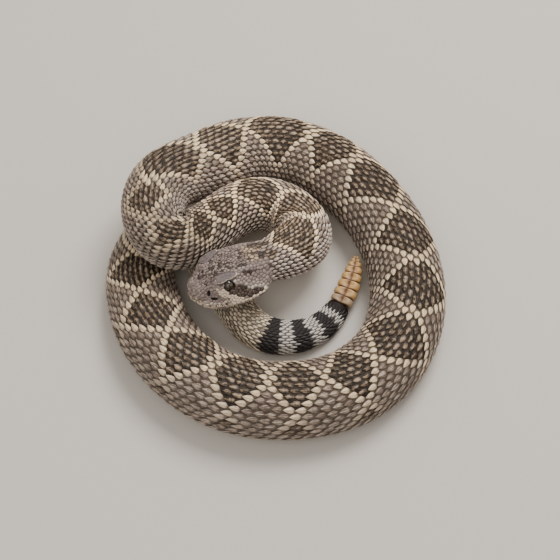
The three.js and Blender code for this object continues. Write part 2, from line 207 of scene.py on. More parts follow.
def shares(count):
    """Even shares from 0 up to, but without, 1."""
    return np.arange(count) / count


def unit(v):
    return v / np.maximum(1e-12, np.linalg.norm(v, axis=-1, keepdims=True))


def curve_through(a, b, c, d, t):
    """A smooth curve from b to c, with a before them and d after."""
    return 0.5 * (
        2 * b + (c - a) * t + (2 * a - 5 * b + 4 * c - d) * t**2 + (3 * b - a - 3 * c + d) * t**3
    )


# ---------------------------------------------------------------- the middle line
def distances(points):
    """Distance of each point from the first, along all points between them."""
    return np.r_[0, np.cumsum(np.linalg.norm(np.diff(points[:, :3], axis=0), axis=1))]


def middle_line():
    """A curve through the route, resampled and smoothed: x, y, height and roll."""
    route = np.array(ROUTE, float)
    padded = np.vstack([2 * route[0] - route[1], route, 2 * route[-1] - route[-2]])
    t = shares(24)[:, None]
    spans = [curve_through(*four, t) for four in zip(padded, padded[1:], padded[2:], padded[3:])]
    dense = np.vstack([*spans, route[-1:]])
    along = distances(dense)
    steps = np.linspace(0, along[-1], round(along[-1] / SPACING) + 1)
    line = np.stack([np.interp(steps, along, column) for column in dense.T], axis=1)
    for _ in range(SMOOTHINGS):
        line[1:-1] = (line[:-2] + 2 * line[1:-1] + line[2:]) / 4
    line[:, 2] = np.maximum(line[:, 2], 0)
    line[:, :2] += PLACE
    return line


LINE = middle_line()
ALONG = distances(LINE)
TOTAL = ALONG[-1]
FORWARD = unit(np.gradient(LINE[:, :3], axis=0))
LEFT = unit(np.cross(FORWARD, [0.0, 0.0, 1.0]))
UP = np.cross(LEFT, FORWARD)


def sideways_bend():
    """How hard the line bends sideways at each point, + towards the snake's left."""
    i = np.arange(len(LINE))
    before, after = np.maximum(i - 2, 0), np.minimum(i + 2, len(LINE) - 1)
    turn = np.sum((FORWARD[after] - FORWARD[before]) * LEFT, axis=1)
    return turn / (ALONG[after] - ALONG[before])


BEND = sideways_bend()


def on_line(values, s):
    """Values that belong to the line's points, read at distances s."""
    return np.stack([np.interp(s, ALONG, column) for column in values.T], axis=-1)


def head_place(s, across, up):
    """A place in the head: distance from the snout, across to the left, and up."""
    forward, left, lift = (unit(on_line(v, s)) for v in (FORWARD, LEFT, UP))
    line = on_line(LINE, s)
    roll = math.radians(line[3])
    middle = read(HEAD, s)[0, 2] * BELLY_SHARE
    out = across * math.cos(roll) + (up - middle) * math.sin(roll)
    high = middle - across * math.sin(roll) + (up - middle) * math.cos(roll)
    return line[:3] + left * out + lift * high, forward, left, lift


# ---------------------------------------------------------------- sections
def body_corners(s):
    """Corners of the body's sections, [across, up], from the ridge down the left side and on."""
    half, ratio = read(GIRTH, s).T
    turn = 2 * np.pi * np.arange(CORNERS) / CORNERS
    side, rise = np.sin(turn).round(9), np.cos(turn).round(9)
    across = half[:, None] * (np.sign(side) * np.abs(side) ** 0.92)
    top, low = RIDGE_SHARE * np.abs(rise) ** 0.94, -0.47 * np.abs(rise) ** 0.75
    up = np.maximum(np.where(rise >= 0, top, low), -BELLY_SHARE) + BELLY_SHARE
    return np.stack([across, (half * ratio)[:, None] * up], axis=-1)


def head_corners(s):
    """The same for the head, from the sizes in its table."""
    lip, brow, crown, edge, mouth, chin = read(HEAD, s).T
    none = 0 * lip
    half = [
        (none, crown + 0.2),
        (0.34 * brow, crown),
        (0.68 * brow, crown - 0.3),
        (0.92 * brow, crown - 0.35 * (crown - edge) - 0.3),
        (brow, edge - 0.5),
        (mix(brow, lip, 0.4), mix(edge, mouth, 0.3)),
        (mix(brow, lip, 0.72), mix(edge, mouth, 0.6)),
        (lip, mouth + 1.9),
        (lip - 0.9, mouth),
        (0.955 * lip - 0.9, mix(chin, mouth, 0.62)),
        (0.84 * lip - 0.6, mix(chin, mouth, 0.26)),
        (0.62 * lip, chin),
        (none, chin),
    ]
    half = np.stack([np.stack(corner, axis=-1) for corner in half], axis=1)
    right = half[:, 1:-1][:, ::-1] * [-1, 1]
    return np.concatenate([half, right], axis=1)


def end_shrink(s):
    """1 between the body's ends, and down to nearly nothing where they round off."""
    past = np.maximum(np.maximum(-s, s - TOTAL), 0) / END_ROUND
    return np.sqrt(np.clip(1 - past**2, 0.002, 1))


def outlines(s):
    """Rounded sections with points at even shares of the half girth, belly - ridge - belly,
    from the right side to the left, and the length of the half girth."""
    blend = ease(*NECK_BLEND, s)[:, None, None]
    corners = mix(head_corners(s), body_corners(s), blend)
    centre = corners.mean(axis=1, keepdims=True)
    corners = centre + (corners - centre) * end_shrink(s)[:, None, None]
    a, b, c, d = (np.roll(corners, k, axis=1)[:, :, None] for k in (1, 0, -1, -2))
    t = shares(8)[None, None, :, None]
    fine = curve_through(a, b, c, d, t).reshape(len(s), -1, 2)
    half = fine[:, : fine.shape[1] // 2 + 1]
    steps = np.linalg.norm(np.diff(half, axis=1), axis=2)
    arc = np.concatenate([np.zeros((len(s), 1)), np.cumsum(steps, axis=1)], axis=1)
    share = np.linspace(0, 1, COLUMNS // 2 + 1)
    left = np.stack(
        [
            np.stack([np.interp(share * g[-1], g, h[:, k]) for k in (0, 1)], axis=1)
            for g, h in zip(arc, half)
        ]
    )
    right = left[:, 1:][:, ::-1] * [-1, 1]
    return np.concatenate([right, left], axis=1), arc[:, -1]


def placed(s, outline):
    """Sections rolled, pressed in on the inside of a bend, and laid on the floor."""
    at = np.clip(s, 0, TOTAL)
    line = on_line(LINE, at)
    forward, left, up = (unit(on_line(v, at))[:, None] for v in (FORWARD, LEFT, UP))
    roll = np.radians(line[:, 3])[:, None]
    bend = np.interp(at, ALONG, BEND)[:, None]
    u, v = outline[..., 0], outline[..., 1]
    middle = v[:, [COLUMNS // 2]] * BELLY_SHARE
    out = u * np.cos(roll) + (v - middle) * np.sin(roll)
    high = middle - u * np.sin(roll) + (v - middle) * np.cos(roll)
    inside = BEND_REACH / np.maximum(1e-6, np.abs(bend))
    over = np.abs(out) / inside - PRESS_FROM
    rest = 1 - PRESS_FROM
    pressed = np.sign(out) * inside * (PRESS_FROM + rest * np.tanh(over / rest))
    out = np.where((out * bend > 0) & (over > 0), pressed, out)
    points = line[:, None, :3] + left * out[..., None] + up * high[..., None]
    points = points + forward * (s - at)[:, None, None]
    points[..., 2] = np.maximum(points[..., 2], 0)
    return points


# ---------------------------------------------------------------- the surface
def grid_normals(points):
    """Outward normals of the grid, with the length of a step along it and round it."""
    along = np.gradient(points, axis=0)
    ring = points[:, :-1]
    around = (np.roll(ring, -1, axis=1) - np.roll(ring, 1, axis=1)) / 2
    around = np.concatenate([around, around[:, :1]], axis=1)
    return unit(np.cross(around, along)), along, around


class Surface:
    """The body's outer surface as a grid, read at (s, a): s is the distance from the snout,
    a the share of the half girth from the ridge, + on the left side."""

    def __init__(self):
        ends = np.linspace(END_ROUND, 0, 8, endpoint=False)
        head = np.arange(0, NECK_BLEND[1], 0.5)
        body = np.arange(NECK_BLEND[1], TOTAL, 1.0)
        self.s = np.r_[-ends, head, body, TOTAL, TOTAL + ends[::-1]]
        self.outline, self.girth = outlines(self.s)
        self.a = np.linspace(-1, 1, COLUMNS + 1)
        points = placed(self.s, self.outline)
        normals = grid_normals(points)[0]
        self.points = points + normals * head_relief(self)[..., None]
        self.normals, along, around = grid_normals(self.points)
        self.pace_along = np.linalg.norm(along, axis=2) / np.gradient(self.s)[:, None]
        self.pace_round = np.linalg.norm(around, axis=2) * COLUMNS / 2

    def _between(self, values, s, a):
        row = np.interp(s, self.s, np.arange(len(self.s)))
        column = (np.mod(a + 1, 2)) / 2 * COLUMNS
        i = np.clip(row.astype(int), 0, len(self.s) - 2)
        j = np.clip(column.astype(int), 0, COLUMNS - 1)
        p, q = row - i, column - j
        if values.ndim == 3:
            p, q = p[..., None], q[..., None]
        return mix(
            mix(values[i, j], values[i, j + 1], q), mix(values[i + 1, j], values[i + 1, j + 1], q), p
        )

    def at(self, s, a):
        """Places on the surface, and its normals there."""
        return self._between(self.points, s, a), unit(self._between(self.normals, s, a))

    def pace(self, s, a):
        """Millimetres on the surface for one of s, and for one of a."""
        return self._between(self.pace_along, s, a), self._between(self.pace_round, s, a)

    def section_place(self, s, a):
        """[across, up] in the section."""
        return self._between(self.outline, s, a)


LIP_CREASE = (0.75, 0.55)  # depth, and half width, of the line between the lips
MOUTH_DROP = 0.64  # how far that line drops at the corner of the mouth
SOCKET_DEPTH = 1.9  # of the eyes
PIT_RIM = 0.28  # height of the rim round a nostril or a heat pit
FAR = 99.0  # a distance that is always too far


def pit(surface, side, hole):
    """An oval pit in one side of the head, with a low rim."""
    across, up = surface.outline[..., 0], surface.outline[..., 1] - hole["up"]
    along = surface.s[:, None] - hole["along"] - hole["lean"] * up
    away = np.hypot(along / hole["long"], up / hole["tall"])
    away = np.where(across * side > 0, away, FAR)
    rim = PIT_RIM * np.exp(-(((away - 1.35) / 0.35) ** 2))
    return rim - hole["depth"] * (1 - ease(0.5, 1.1, away))


def lip_crease(surface):
    """The line between the lips, which drops to the corner of the mouth and ends there."""
    depth, half = LIP_CREASE
    s = surface.s[:, None]
    across, up = surface.outline[..., 0], surface.outline[..., 1]
    head = read(HEAD, surface.s)
    lip, mouth = head[:, [0]], head[:, [4]]
    on_lip = ease(0.35, 0.7, np.abs(across) / lip)
    front = np.where(s < 2, ease(-1.6, 0.4, s), on_lip)
    fade = 1 - ease(MOUTH_CORNER - 3, MOUTH_CORNER + 1, s)
    drop = MOUTH_DROP * ease(MOUTH_CORNER - 6, MOUTH_CORNER, s)
    return -depth * np.exp(-(((up - mouth + drop) / half) ** 2)) * front * fade


def eye_socket(surface, side):
    """A round hollow with a sharp edge; the eye's ball stands in it."""
    across, up = surface.outline[..., 0], surface.outline[..., 1]
    away = np.hypot(surface.s[:, None] - EYE["along"], (up - EYE["up"]) * 1.05)
    away = np.where(across * side > 0, away, FAR)
    return -SOCKET_DEPTH * (1 - ease(EYE["opening"] - 0.5, EYE["opening"] + 0.7, away))


def head_relief(surface):
    """How far the head's features stand out of the plain sections, in mm."""
    relief = lip_crease(surface)
    for side in (1, -1):
        for hole in (NOSTRIL, HEAT_PIT):
            relief = relief + pit(surface, side, hole)
        relief = relief + eye_socket(surface, side)
    return relief


surface = Surface()


# ---------------------------------------------------------------- lattice of the scales
def row_shares():
    """Middle of each row of scales, as a share of the half girth, and its width."""
    widths = np.array(ROW_WIDTHS)
    middles = np.r_[0, np.cumsum((widths[1:] + widths[:-1]) / 2)]
    scale = BACK_SHARE / (middles[-1] + widths[-1] / 2)
    return middles * scale, widths * scale


ROW_MIDDLE, ROW_WIDTH = row_shares()
HALF_STEPS = np.r_[0, np.cumsum([2 * count for _, count in CROSSINGS[:-1]])]
CROSSING_AT = np.array([at for at, _ in CROSSINGS], float)


def distance_of(step):
    """Distance from the snout of a half step of the lattice."""
    return read(np.stack([HALF_STEPS, CROSSING_AT], axis=1), step)[:, 0]


def step_of(s):
    """The reverse: half steps of the lattice up to a distance from the snout."""
    return read(np.stack([CROSSING_AT, HALF_STEPS], axis=1), s)[:, 0]


def shift_share(s):
    """The pattern's shift at s as a share of the half girth."""
    half = np.interp(s, surface.s, surface.girth)
    return read(PATTERN_SHIFT, s)[:, 0] / half


OUTSIDE = -9.0  # stands for a place that is far outside a marking


def markings(step, row, s, across):
    """Where a place lies in the pattern, in rows: inside the diamond's edge, inside the
    edge of the blotch under it, and from the back's middle."""
    i = np.clip(np.searchsorted(HALF_STEPS, step, side="right") - 1, 0, len(HALF_STEPS) - 2)
    before, after = HALF_STEPS[i], HALF_STEPS[i + 1]
    row = np.abs(row) + 0 * before
    from_crossing = np.minimum(step - before, after - step)
    nearer_before = step - before <= after - step
    odd = np.where(nearer_before, before, after) % 2
    odd_other = np.where(nearer_before, after, before) % 2
    inside = from_crossing - row + odd
    inside = np.where((odd > 0) & (from_crossing + row < 1.5), 0, inside)
    blotch = from_crossing + row - (after - before) - odd_other
    # before the pattern begins, only the spots of the nape are dark
    spot = np.maximum(*(inside_outline(s, across, outline) for outline in NAPE_SPOTS))
    inside = np.where(s < NAPE_END, np.where(spot > 0, 2.0, -3.0), inside)
    blotch = np.where(s < NAPE_END, OUTSIDE, blotch)
    return np.stack([inside, blotch, row], axis=-1)


def inside_outline(x, y, outline):
    """How far each place lies inside a closed outline, and less than 0 outside it."""
    x, y = np.asarray(x, float)[..., None], np.asarray(y, float)[..., None]
    (ax, ay), (bx, by) = np.array(outline, float).T, np.roll(np.array(outline, float), -1, 0).T
    share = ((x - ax) * (bx - ax) + (y - ay) * (by - ay)) / ((bx - ax) ** 2 + (by - ay) ** 2)
    share = np.clip(share, 0, 1)
    away = np.hypot(x - mix(ax, bx, share), y - mix(ay, by, share)).min(axis=-1)
    level = np.where(by == ay, 1, by - ay)
    crossed = ((ay > y) != (by > y)) & (x < (bx - ax) * (y - ay) / level + ax)
    return np.where(crossed.sum(axis=-1) % 2 == 1, away, -away)


# Dark spots of the nape: distance from the snout and place across.
NAPE_SPOTS = (
    [(44.5, 5.2), (49, 3.2), (54, 2.4), (57.5, 4), (57, 7.6), (53.5, 9.2), (49.5, 7.6)],
    [(40, -6.8), (47, -8.4), (54, -8.6), (58, -5.4), (53.5, -2.8), (47, -4)],
)
# Dark spots on the crown: distance from the snout, place across and radius.
CROWN_SPOTS = [
    (19, -5.9, 1.2), (17.5, -0.6, 1.1), (14.3, 2.5, 1.1), (15.6, 5.4, 1), (34.5, 8.4, 1.4),
    (31, 8.8, 1.1), (33, 14.6, 1.3), (26.5, -8.3, 1.1), (31, -9.1, 1), (33, -5.2, 0.9),
    (39, -3, 1), (10.5, -0.5, 0.9), (25.5, 5.8, 1), (36, 15, 0.9), (9.5, 4.6, 0.9),
    (21.5, 2.2, 0.8), (23.5, -2.5, 1), (28.5, 1.5, 0.9), (28.4, -4.6, 0.8), (36.5, 2.6, 1),
]
# The dark stripe behind the eye, the pale line above it and the pale cheek: distance from the
# snout and height.
STRIPE = [
    (18, 16.7), (19.5, 18.5), (24, 20.6), (28, 17.3), (32.5, 14.3), (37, 12.3), (42, 10.9),
    (44.6, 10.4), (42, 9.8), (37, 9.1), (32, 8.9), (28, 9.4), (24.5, 10.6), (21, 13.3),
]
TEMPLE_LINE = [
    (23.5, 24.4), (28, 22), (33, 18.8), (38, 16), (43, 13.6), (47, 11.8), (47, 9),
    (44.6, 10.4), (42, 10.9), (37, 12.3), (32.5, 14.3), (28, 17.3), (24, 20.6),
]
PALE_CHEEK = [
    (12, 19.4), (17.2, 18.2), (18, 16.7), (21, 13.3), (24.5, 10.6), (28, 9.4), (32, 8.9),
    (37, 9.1), (42, 9.8), (46, 10.2), (46, 7.6), (36, 5), (26, 4.4), (10, 4.4), (-2, 5),
    (-2, 9.6), (6, 9.6), (12, 9), (15, 10), (16.3, 12.4), (13, 14.2),
]
# The shield over an eye: distance from the snout and place across.
BROW_SHIELD = [
    (13.7, 12.9), (15, 9.4), (17.6, 7.8), (20.4, 8.4), (23.4, 10), (26.4, 11.4),
    (28.4, 13), (27.6, 14.9), (24.6, 15.7), (20.8, 15.7), (17.2, 15), (14.7, 14),
]


def head_markings(s, across, up):
    """How far a place lies inside the dark stripe or a spot of the nape or crown, inside the
    pale line above the stripe, and inside the pale cheek."""
    spot = np.maximum(*(inside_outline(s, across, outline) for outline in NAPE_SPOTS))
    for x, y, radius in CROWN_SPOTS:
        spot = np.maximum(spot, 2.5 * (radius - np.hypot(s - x, across - y)))
    spot = np.where(up > 12, spot, OUTSIDE)
    return np.stack(
        [
            np.maximum(inside_outline(s, up, STRIPE), spot),
            inside_outline(s, up, TEMPLE_LINE),
            inside_outline(s, up, PALE_CHEEK),
        ],
        axis=-1,
    )


# ---------------------------------------------------------------- shapes of one scale
class Plate:
    """A thin closed plate: a grid on top and a fan below. Points are [along, across, up]:
    along and across in shares of its length and half width, up in shares of its height."""

    BELOW = -0.2  # height of the middle of its underside

    def __init__(self, rows, columns, half_width, height, tip_round):
        t, q = np.array(rows), np.array(columns)
        many, wide = len(t), len(q)
        tt, qq = np.meshgrid(t, q, indexing="ij")
        w = half_width(t)[:, None]
        bow = tip_round * qq**2 * ease(0.55, 1, tt)
        top = np.stack([tt - 0.5 - bow, qq * w, height(tt, qq)], axis=-1).reshape(-1, 3)
        self.points = np.vstack([top, [[0, 0, self.BELOW]]])
        self.lie = np.vstack([np.stack([tt, qq, 0 * tt], -1).reshape(-1, 3), [[0.5, 0, 1]]])
        number = np.arange(many * wide).reshape(many, wide)
        quads = [
            (number[i, j], number[i, j + 1], number[i + 1, j + 1], number[i + 1, j])
            for i in range(many - 1)
            for j in range(wide - 1)
        ]
        ring = [*number[0, :], *number[1:, -1], *number[-1, -2::-1], *number[-2:0:-1, 0]]
        fan = [(ring[k], ring[k - 1], many * wide) for k in range(len(ring))]
        self.faces = quads + fan
        self.map = [self._patch(face, len(face) == 3) for face in self.faces]

    def _patch(self, face, below):
        """Places in the plate's own square patch: its top in the wide part, its underside in
        a strip beside it."""
        spots = []
        for k in face:
            t, q, _ = self.lie[k]
            y = 0.02 + 0.05 * (q + 1) / 2 if below else 0.12 + 0.82 * (q + 1) / 2
            spots.append((0.05 + 0.9 * t, y))
        return spots


def leaf(t):
    """Half width of a scale along it: narrow at the root, widest before the middle, and
    drawn to a blunt point."""
    late = np.clip((t - 0.4) / 0.62, 0, 1)
    early = 0.62 + 0.38 * np.sin(np.clip(t / 0.4, 0, 1) * np.pi / 2)
    return np.where(t < 0.4, early, np.clip(1 - late**1.65, 0.03, 1) ** 0.72)


def keeled(t, q):
    """Height of a scale with a ridge along its middle."""
    lift = -0.35 + 1.27 * ease(0, 0.8, t)
    keel = 0.34 * np.clip(1 - np.abs(q) / 0.2, 0, 1) * ease(0.1, 0.4, t) * (1 - ease(0.9, 1, t))
    return lift - 0.45 * np.abs(q) ** 2.2 - 0.12 * ease(0.8, 1, t) + keel


def smooth_plate(t, q):
    """Height of a scale of the lowest rows, which have no ridge."""
    lift = -0.35 + 1.27 * ease(0, 0.8, t)
    return lift - 0.3 * np.abs(q) ** 3 - 0.15 * ease(0.85, 1, t)


KEELED_SCALE = Plate(
    [0, 0.16, 0.33, 0.5, 0.68, 0.85, 1], [-1, -0.62, -0.2, 0, 0.2, 0.62, 1],
    leaf, keeled, 0.07,
)
SMOOTH_SCALE = Plate(
    [0, 0.2, 0.4, 0.6, 0.8, 0.92, 1], [-1, -0.75, -0.4, 0, 0.4, 0.75, 1],
    leaf, smooth_plate, 0.07,
)


def band_height(t, q):
    """Height of a belly shield, the same all across."""
    return -0.3 + 1.1 * ease(0, 0.7, t) - 0.2 * ease(0.85, 1, t) + 0 * q


BELLY_SHIELD = Plate(
    [0, 0.3, 0.6, 0.9, 1], list(np.linspace(-1, 1, 17)),
    np.ones_like, band_height, 0.05,
)


class Cell:
    """A low closed cushion of any outline: rings round a middle and a fan below. Points are
    [along, across, up] in shares of its reach in each direction, and of its height."""

    def __init__(self, directions, rings):
        self.turn = np.arange(directions) * 2 * np.pi / directions
        self.points, self.lie = [[0, 0, rings[0][1]]], [[0.5, 0, 0]]
        for share, height in rings[1:]:
            for turn in self.turn:
                self.points.append([share * math.cos(turn), share * math.sin(turn), height])
                self.lie.append([0.5 + share * math.cos(turn) / 2, share * math.sin(turn), share])
        self.points.append([0, 0, -0.5])
        self.lie.append([0.5, 0, 1])
        self.points, self.lie = np.array(self.points), np.array(self.lie)
        many = len(rings) - 1
        following = [(k + 1) % directions for k in range(directions)]
        self.faces = [(0, 1 + k, 1 + following[k]) for k in range(directions)]
        for ring in range(many - 1):
            base = 1 + ring * directions
            for k in range(directions):
                this, other = base + k, base + following[k]
                self.faces.append((this, this + directions, other + directions, other))
        hub, base = len(self.points) - 1, 1 + (many - 1) * directions
        self.below = [(base + following[k], base + k, hub) for k in range(directions)]
        self.faces += self.below
        self.map = [self._patch(face, n) for n, face in enumerate(self.faces)]

    def _patch(self, face, number):
        """Places in the cushion's own square patch, its underside in a strip at the edge."""
        first_below = len(self.faces) - len(self.below)
        if number < first_below:
            return [(0.5 + 0.42 * self.points[k][0], 0.53 + 0.42 * self.points[k][1]) for k in face]
        x = 0.06 + 0.85 * (number - first_below) / len(self.below)
        return [(x + 0.03, 0.01), (x, 0.01), (x + 0.015, 0.05)]


GRANULE = Cell(14, [(0, 1.0), (0.45, 0.96), (0.76, 0.74), (0.92, 0.4), (1, -0.25)])
BROW_PLATE = Cell(
    40, [(0, 0.9), (0.2, 0.9), (0.4, 0.88), (0.6, 0.87), (0.76, 0.9), (0.88, 1), (0.95, 0.93),
         (1, 0.6), (0.99, 0.1), (0.96, -0.3)]
)


# ---------------------------------------------------------------- laying the scales
def coat_depth(s):
    """Depth of the scales over the skin at distances from the snout."""
    return np.interp(s, *np.array(COAT).T)


def lay(plate, s, a, length, half_width, height, turn=0.0):
    """Points of a plate laid at many places of the surface. Its length, half width and height
    are in millimetres and its turn is in radians, one for each place or one for all."""
    s, a, length, half_width, height, turn = (
        np.broadcast_to(v, np.shape(s))[:, None] for v in (s, a, length, half_width, height, turn)
    )
    pace_s, pace_a = surface.pace(s, a)
    x = plate.points[None, :, 0] * length
    y = plate.points[None, :, 1] * half_width
    ds = (x * np.cos(turn) - y * np.sin(turn)) / np.maximum(0.12, pace_s)
    da = (x * np.sin(turn) + y * np.cos(turn)) / np.maximum(1.0, pace_a)
    spots, normals = surface.at(s + ds, a + da)
    rise = plate.points[None, :, 2] * height - coat_depth(s)
    points = spots + normals * rise[..., None]
    points[..., 2] = np.maximum(points[..., 2], 0.04)
    return points


class Coat:
    """Plates collected for one mesh, with what the finish reads on them."""

    def __init__(self, name):
        self.name = name
        self.points, self.loops, self.starts = [], [], []
        self.vectors = {"lie": []}
        self.spots = []
        self.vertices = 0
        self.corners = 0

    def add(self, plate, points, patches, **vectors):
        """patches: lowest corner and size of each plate's patch of the map. vectors: three
        numbers for each plate, or for each of its points."""
        count, size = points.shape[:2]
        self.points.append(points.reshape(-1, 3))
        pattern = np.concatenate([np.array(face) for face in plate.faces])
        lengths = np.array([len(face) for face in plate.faces])
        base = self.vertices + np.arange(count)[:, None] * size
        self.loops.append((base + pattern[None]).ravel())
        first = np.r_[0, np.cumsum(lengths)[:-1]]
        start = self.corners + np.arange(count)[:, None] * len(pattern)
        self.starts.append((start + first[None]).ravel())
        spot = np.array([p for face in plate.map for p in face])
        self.spots.append((patches[:, None, :2] + spot[None] * patches[:, None, 2:]).reshape(-1, 2))
        for key, values in vectors.items():
            if values.ndim == 2:
                values = np.repeat(values, size, axis=0)
            self.vectors.setdefault(key, []).append(values.reshape(-1, 3))
        self.vectors["lie"].append(np.tile(plate.lie, (count, 1)))
        self.vertices += count * size
        self.corners += count * len(pattern)

    def make(self, finish):
        """The mesh object of all plates added so far."""
        vectors = {key: np.concatenate(values) for key, values in self.vectors.items()}
        return make_mesh(
            self.name, np.concatenate(self.points), np.concatenate(self.loops),
            np.concatenate(self.starts), vectors, np.concatenate(self.spots), [finish],
        )


def make_mesh(name, points, loops, starts, vectors, spots, finishes, finish_of=None):
    """A smooth mesh object from millimetres. loops: corners of all faces one after the other;
    starts: where each face begins among them; spots: the map, one place for each corner."""
    mesh = bpy.data.meshes.new(name)
    mesh.vertices.add(len(points))
    mesh.vertices.foreach_set("co", (points * MM).astype(np.float32).ravel())
    mesh.loops.add(len(loops))
    mesh.loops.foreach_set("vertex_index", loops.astype(np.int32))
    mesh.polygons.add(len(starts))
    mesh.polygons.foreach_set("loop_start", starts.astype(np.int32))
    if finish_of is not None:
        mesh.polygons.foreach_set("material_index", finish_of.astype(np.int32))
    for finish in finishes:
        mesh.materials.append(finish)
    mesh.update(calc_edges=True)
    for key, values in vectors.items():
        layer = mesh.attributes.new(key, "FLOAT_VECTOR", "POINT")
        layer.data.foreach_set("vector", values.astype(np.float32).ravel())
    if spots is not None:
        layer = mesh.uv_layers.new(name="OFBake")
        layer.data.foreach_set("uv", spots.astype(np.float32).ravel())
    mesh.validate()
    mesh.shade_smooth()
    piece = bpy.data.objects.new(name, mesh)
    bpy.context.scene.collection.objects.link(piece)
    return piece


def closed_faces(count, wide):
    """Faces through rings of points and, after them, a hub for the fan at each end: the corners
    of all faces, and where each face begins among them."""
    number = np.arange(count * wide).reshape(count, wide)
    right = np.roll(number, -1, axis=1)
    quads = np.stack([number[:-1], right[:-1], right[1:], number[1:]], axis=-1).reshape(-1, 4)
    front = np.stack([right[0], number[0], np.full(wide, count * wide)], axis=1)
    rear = np.stack([number[-1], right[-1], np.full(wide, count * wide + 1)], axis=1)
    loops = np.r_[quads.ravel(), front.ravel(), rear.ravel()]
    starts = np.r_[np.arange(len(quads)) * 4, len(quads) * 4 + np.arange(2 * wide) * 3]
    return loops, starts


def with_hubs(rings):
    """Points of the rings one after the other, then the middles of the first and last ring."""
    return np.vstack([rings.reshape(-1, 3), rings[0].mean(axis=0), rings[-1].mean(axis=0)])


def cells_to_patches(column, row, columns, rows, first, share):
    """Patches for cells one row wide and as long as their share of two half steps."""
    x = (column + 1 - share - first) / (columns + 2)
    ones = np.ones(len(x))
    return np.stack([x, ones * row / rows, 2 * share / (columns + 2), ones / rows], axis=1)


def row_places(row, steps):
    """Distances from the snout, and shares of the half girth, for half steps of one row."""
    s = distance_of(steps)
    k = abs(row)
    return s, np.sign(row) * ROW_MIDDLE[k] + shift_share(s) * (1 - (k / ROWS) ** 2)


def row_steps(row, first, last):
    """Half steps at which a row has a scale, and the share of its cell that each one fills."""
    steps = np.arange(first, last)
    steps = steps[(steps + row) % 2 == 0]
    s = distance_of(steps)
    steps = steps[(s > HEAD_END - 1) & (s < TOTAL - TAIL_GAP)]
    twice = surface.pace(*row_places(row, steps))[0] > STRETCHED
    share = np.r_[np.where(twice, 0.5, 1), np.full(twice.sum(), 0.5)]
    return np.r_[steps - 0.5 * twice, steps[twice] + 0.5], share


def keel_scales(coat, first, last):
    """The rows of overlapping scales on the back and sides between two half steps."""
    for row in range(-ROWS, ROWS + 1):
        k = abs(row)
        steps, share = row_steps(row, first, last)
        s, a = row_places(row, steps)
        pitch = (distance_of(steps + 1) - distance_of(steps - 1)) * share
        s = s + rng.normal(0, ASKEW, len(s)) * pitch
        pace_s, pace_a = surface.pace(s, a)
        long = SCALE_LENGTH * pitch * pace_s * rng.normal(1, UNEVEN, len(s))
        half = 0.5 * SCALE_WIDTH * ROW_WIDTH[k] * pace_a * rng.normal(1, UNEVEN, len(s))
        tall = coat_depth(s) * np.clip(pace_s, 0.35, 1) ** 0.5
        turn = rng.normal(0, ASKEW, len(s)) + np.sign(row) * 0.1 * ease(8, 12, k)
        plate = SMOOTH_SCALE if k >= ROWS - 1 else KEELED_SCALE
        points = lay(plate, s + 0.06 * pitch, a, long, half, tall, turn)
        way = np.stack([s, a, rng.random(len(s))], axis=1)
        across = surface.section_place(s, a)[:, 0]
        patches = cells_to_patches(steps, row + ROWS + 1, last - first, 2 * ROWS + 3, first, share)
        coat.add(plate, points, patches, mark=markings(steps, row, s, across), way=way)


def belly_shields(coat, first, last):
    """One wide shield across the belly for each scale's length, from the throat on."""
    steps = np.arange(first, last)
    steps = steps[steps % 2 == 0]
    s = distance_of(steps)
    keep = (s > HEAD_END - 8) & (s < TOTAL - TAIL_GAP)
    steps, s = steps[keep], s[keep]
    pitch = distance_of(steps + 1) - distance_of(steps - 1)
    a = np.ones(len(s))
    pace_s, pace_a = surface.pace(s, a)
    half = (1 - BACK_SHARE) * SHIELD_WIDTH * pace_a
    points = lay(BELLY_SHIELD, s, a, SHIELD_LENGTH * pitch * pace_s, half, coat_depth(s))
    way = np.stack([s, a, rng.random(len(s))], axis=1)
    mark = np.tile([[OUTSIDE, OUTSIDE, ROWS + 2.0]], (len(s), 1))
    patches = cells_to_patches(steps, 0, last - first, 2 * ROWS + 3, first, np.ones(len(s)))
    coat.add(BELLY_SHIELD, points, patches, mark=mark, way=way)


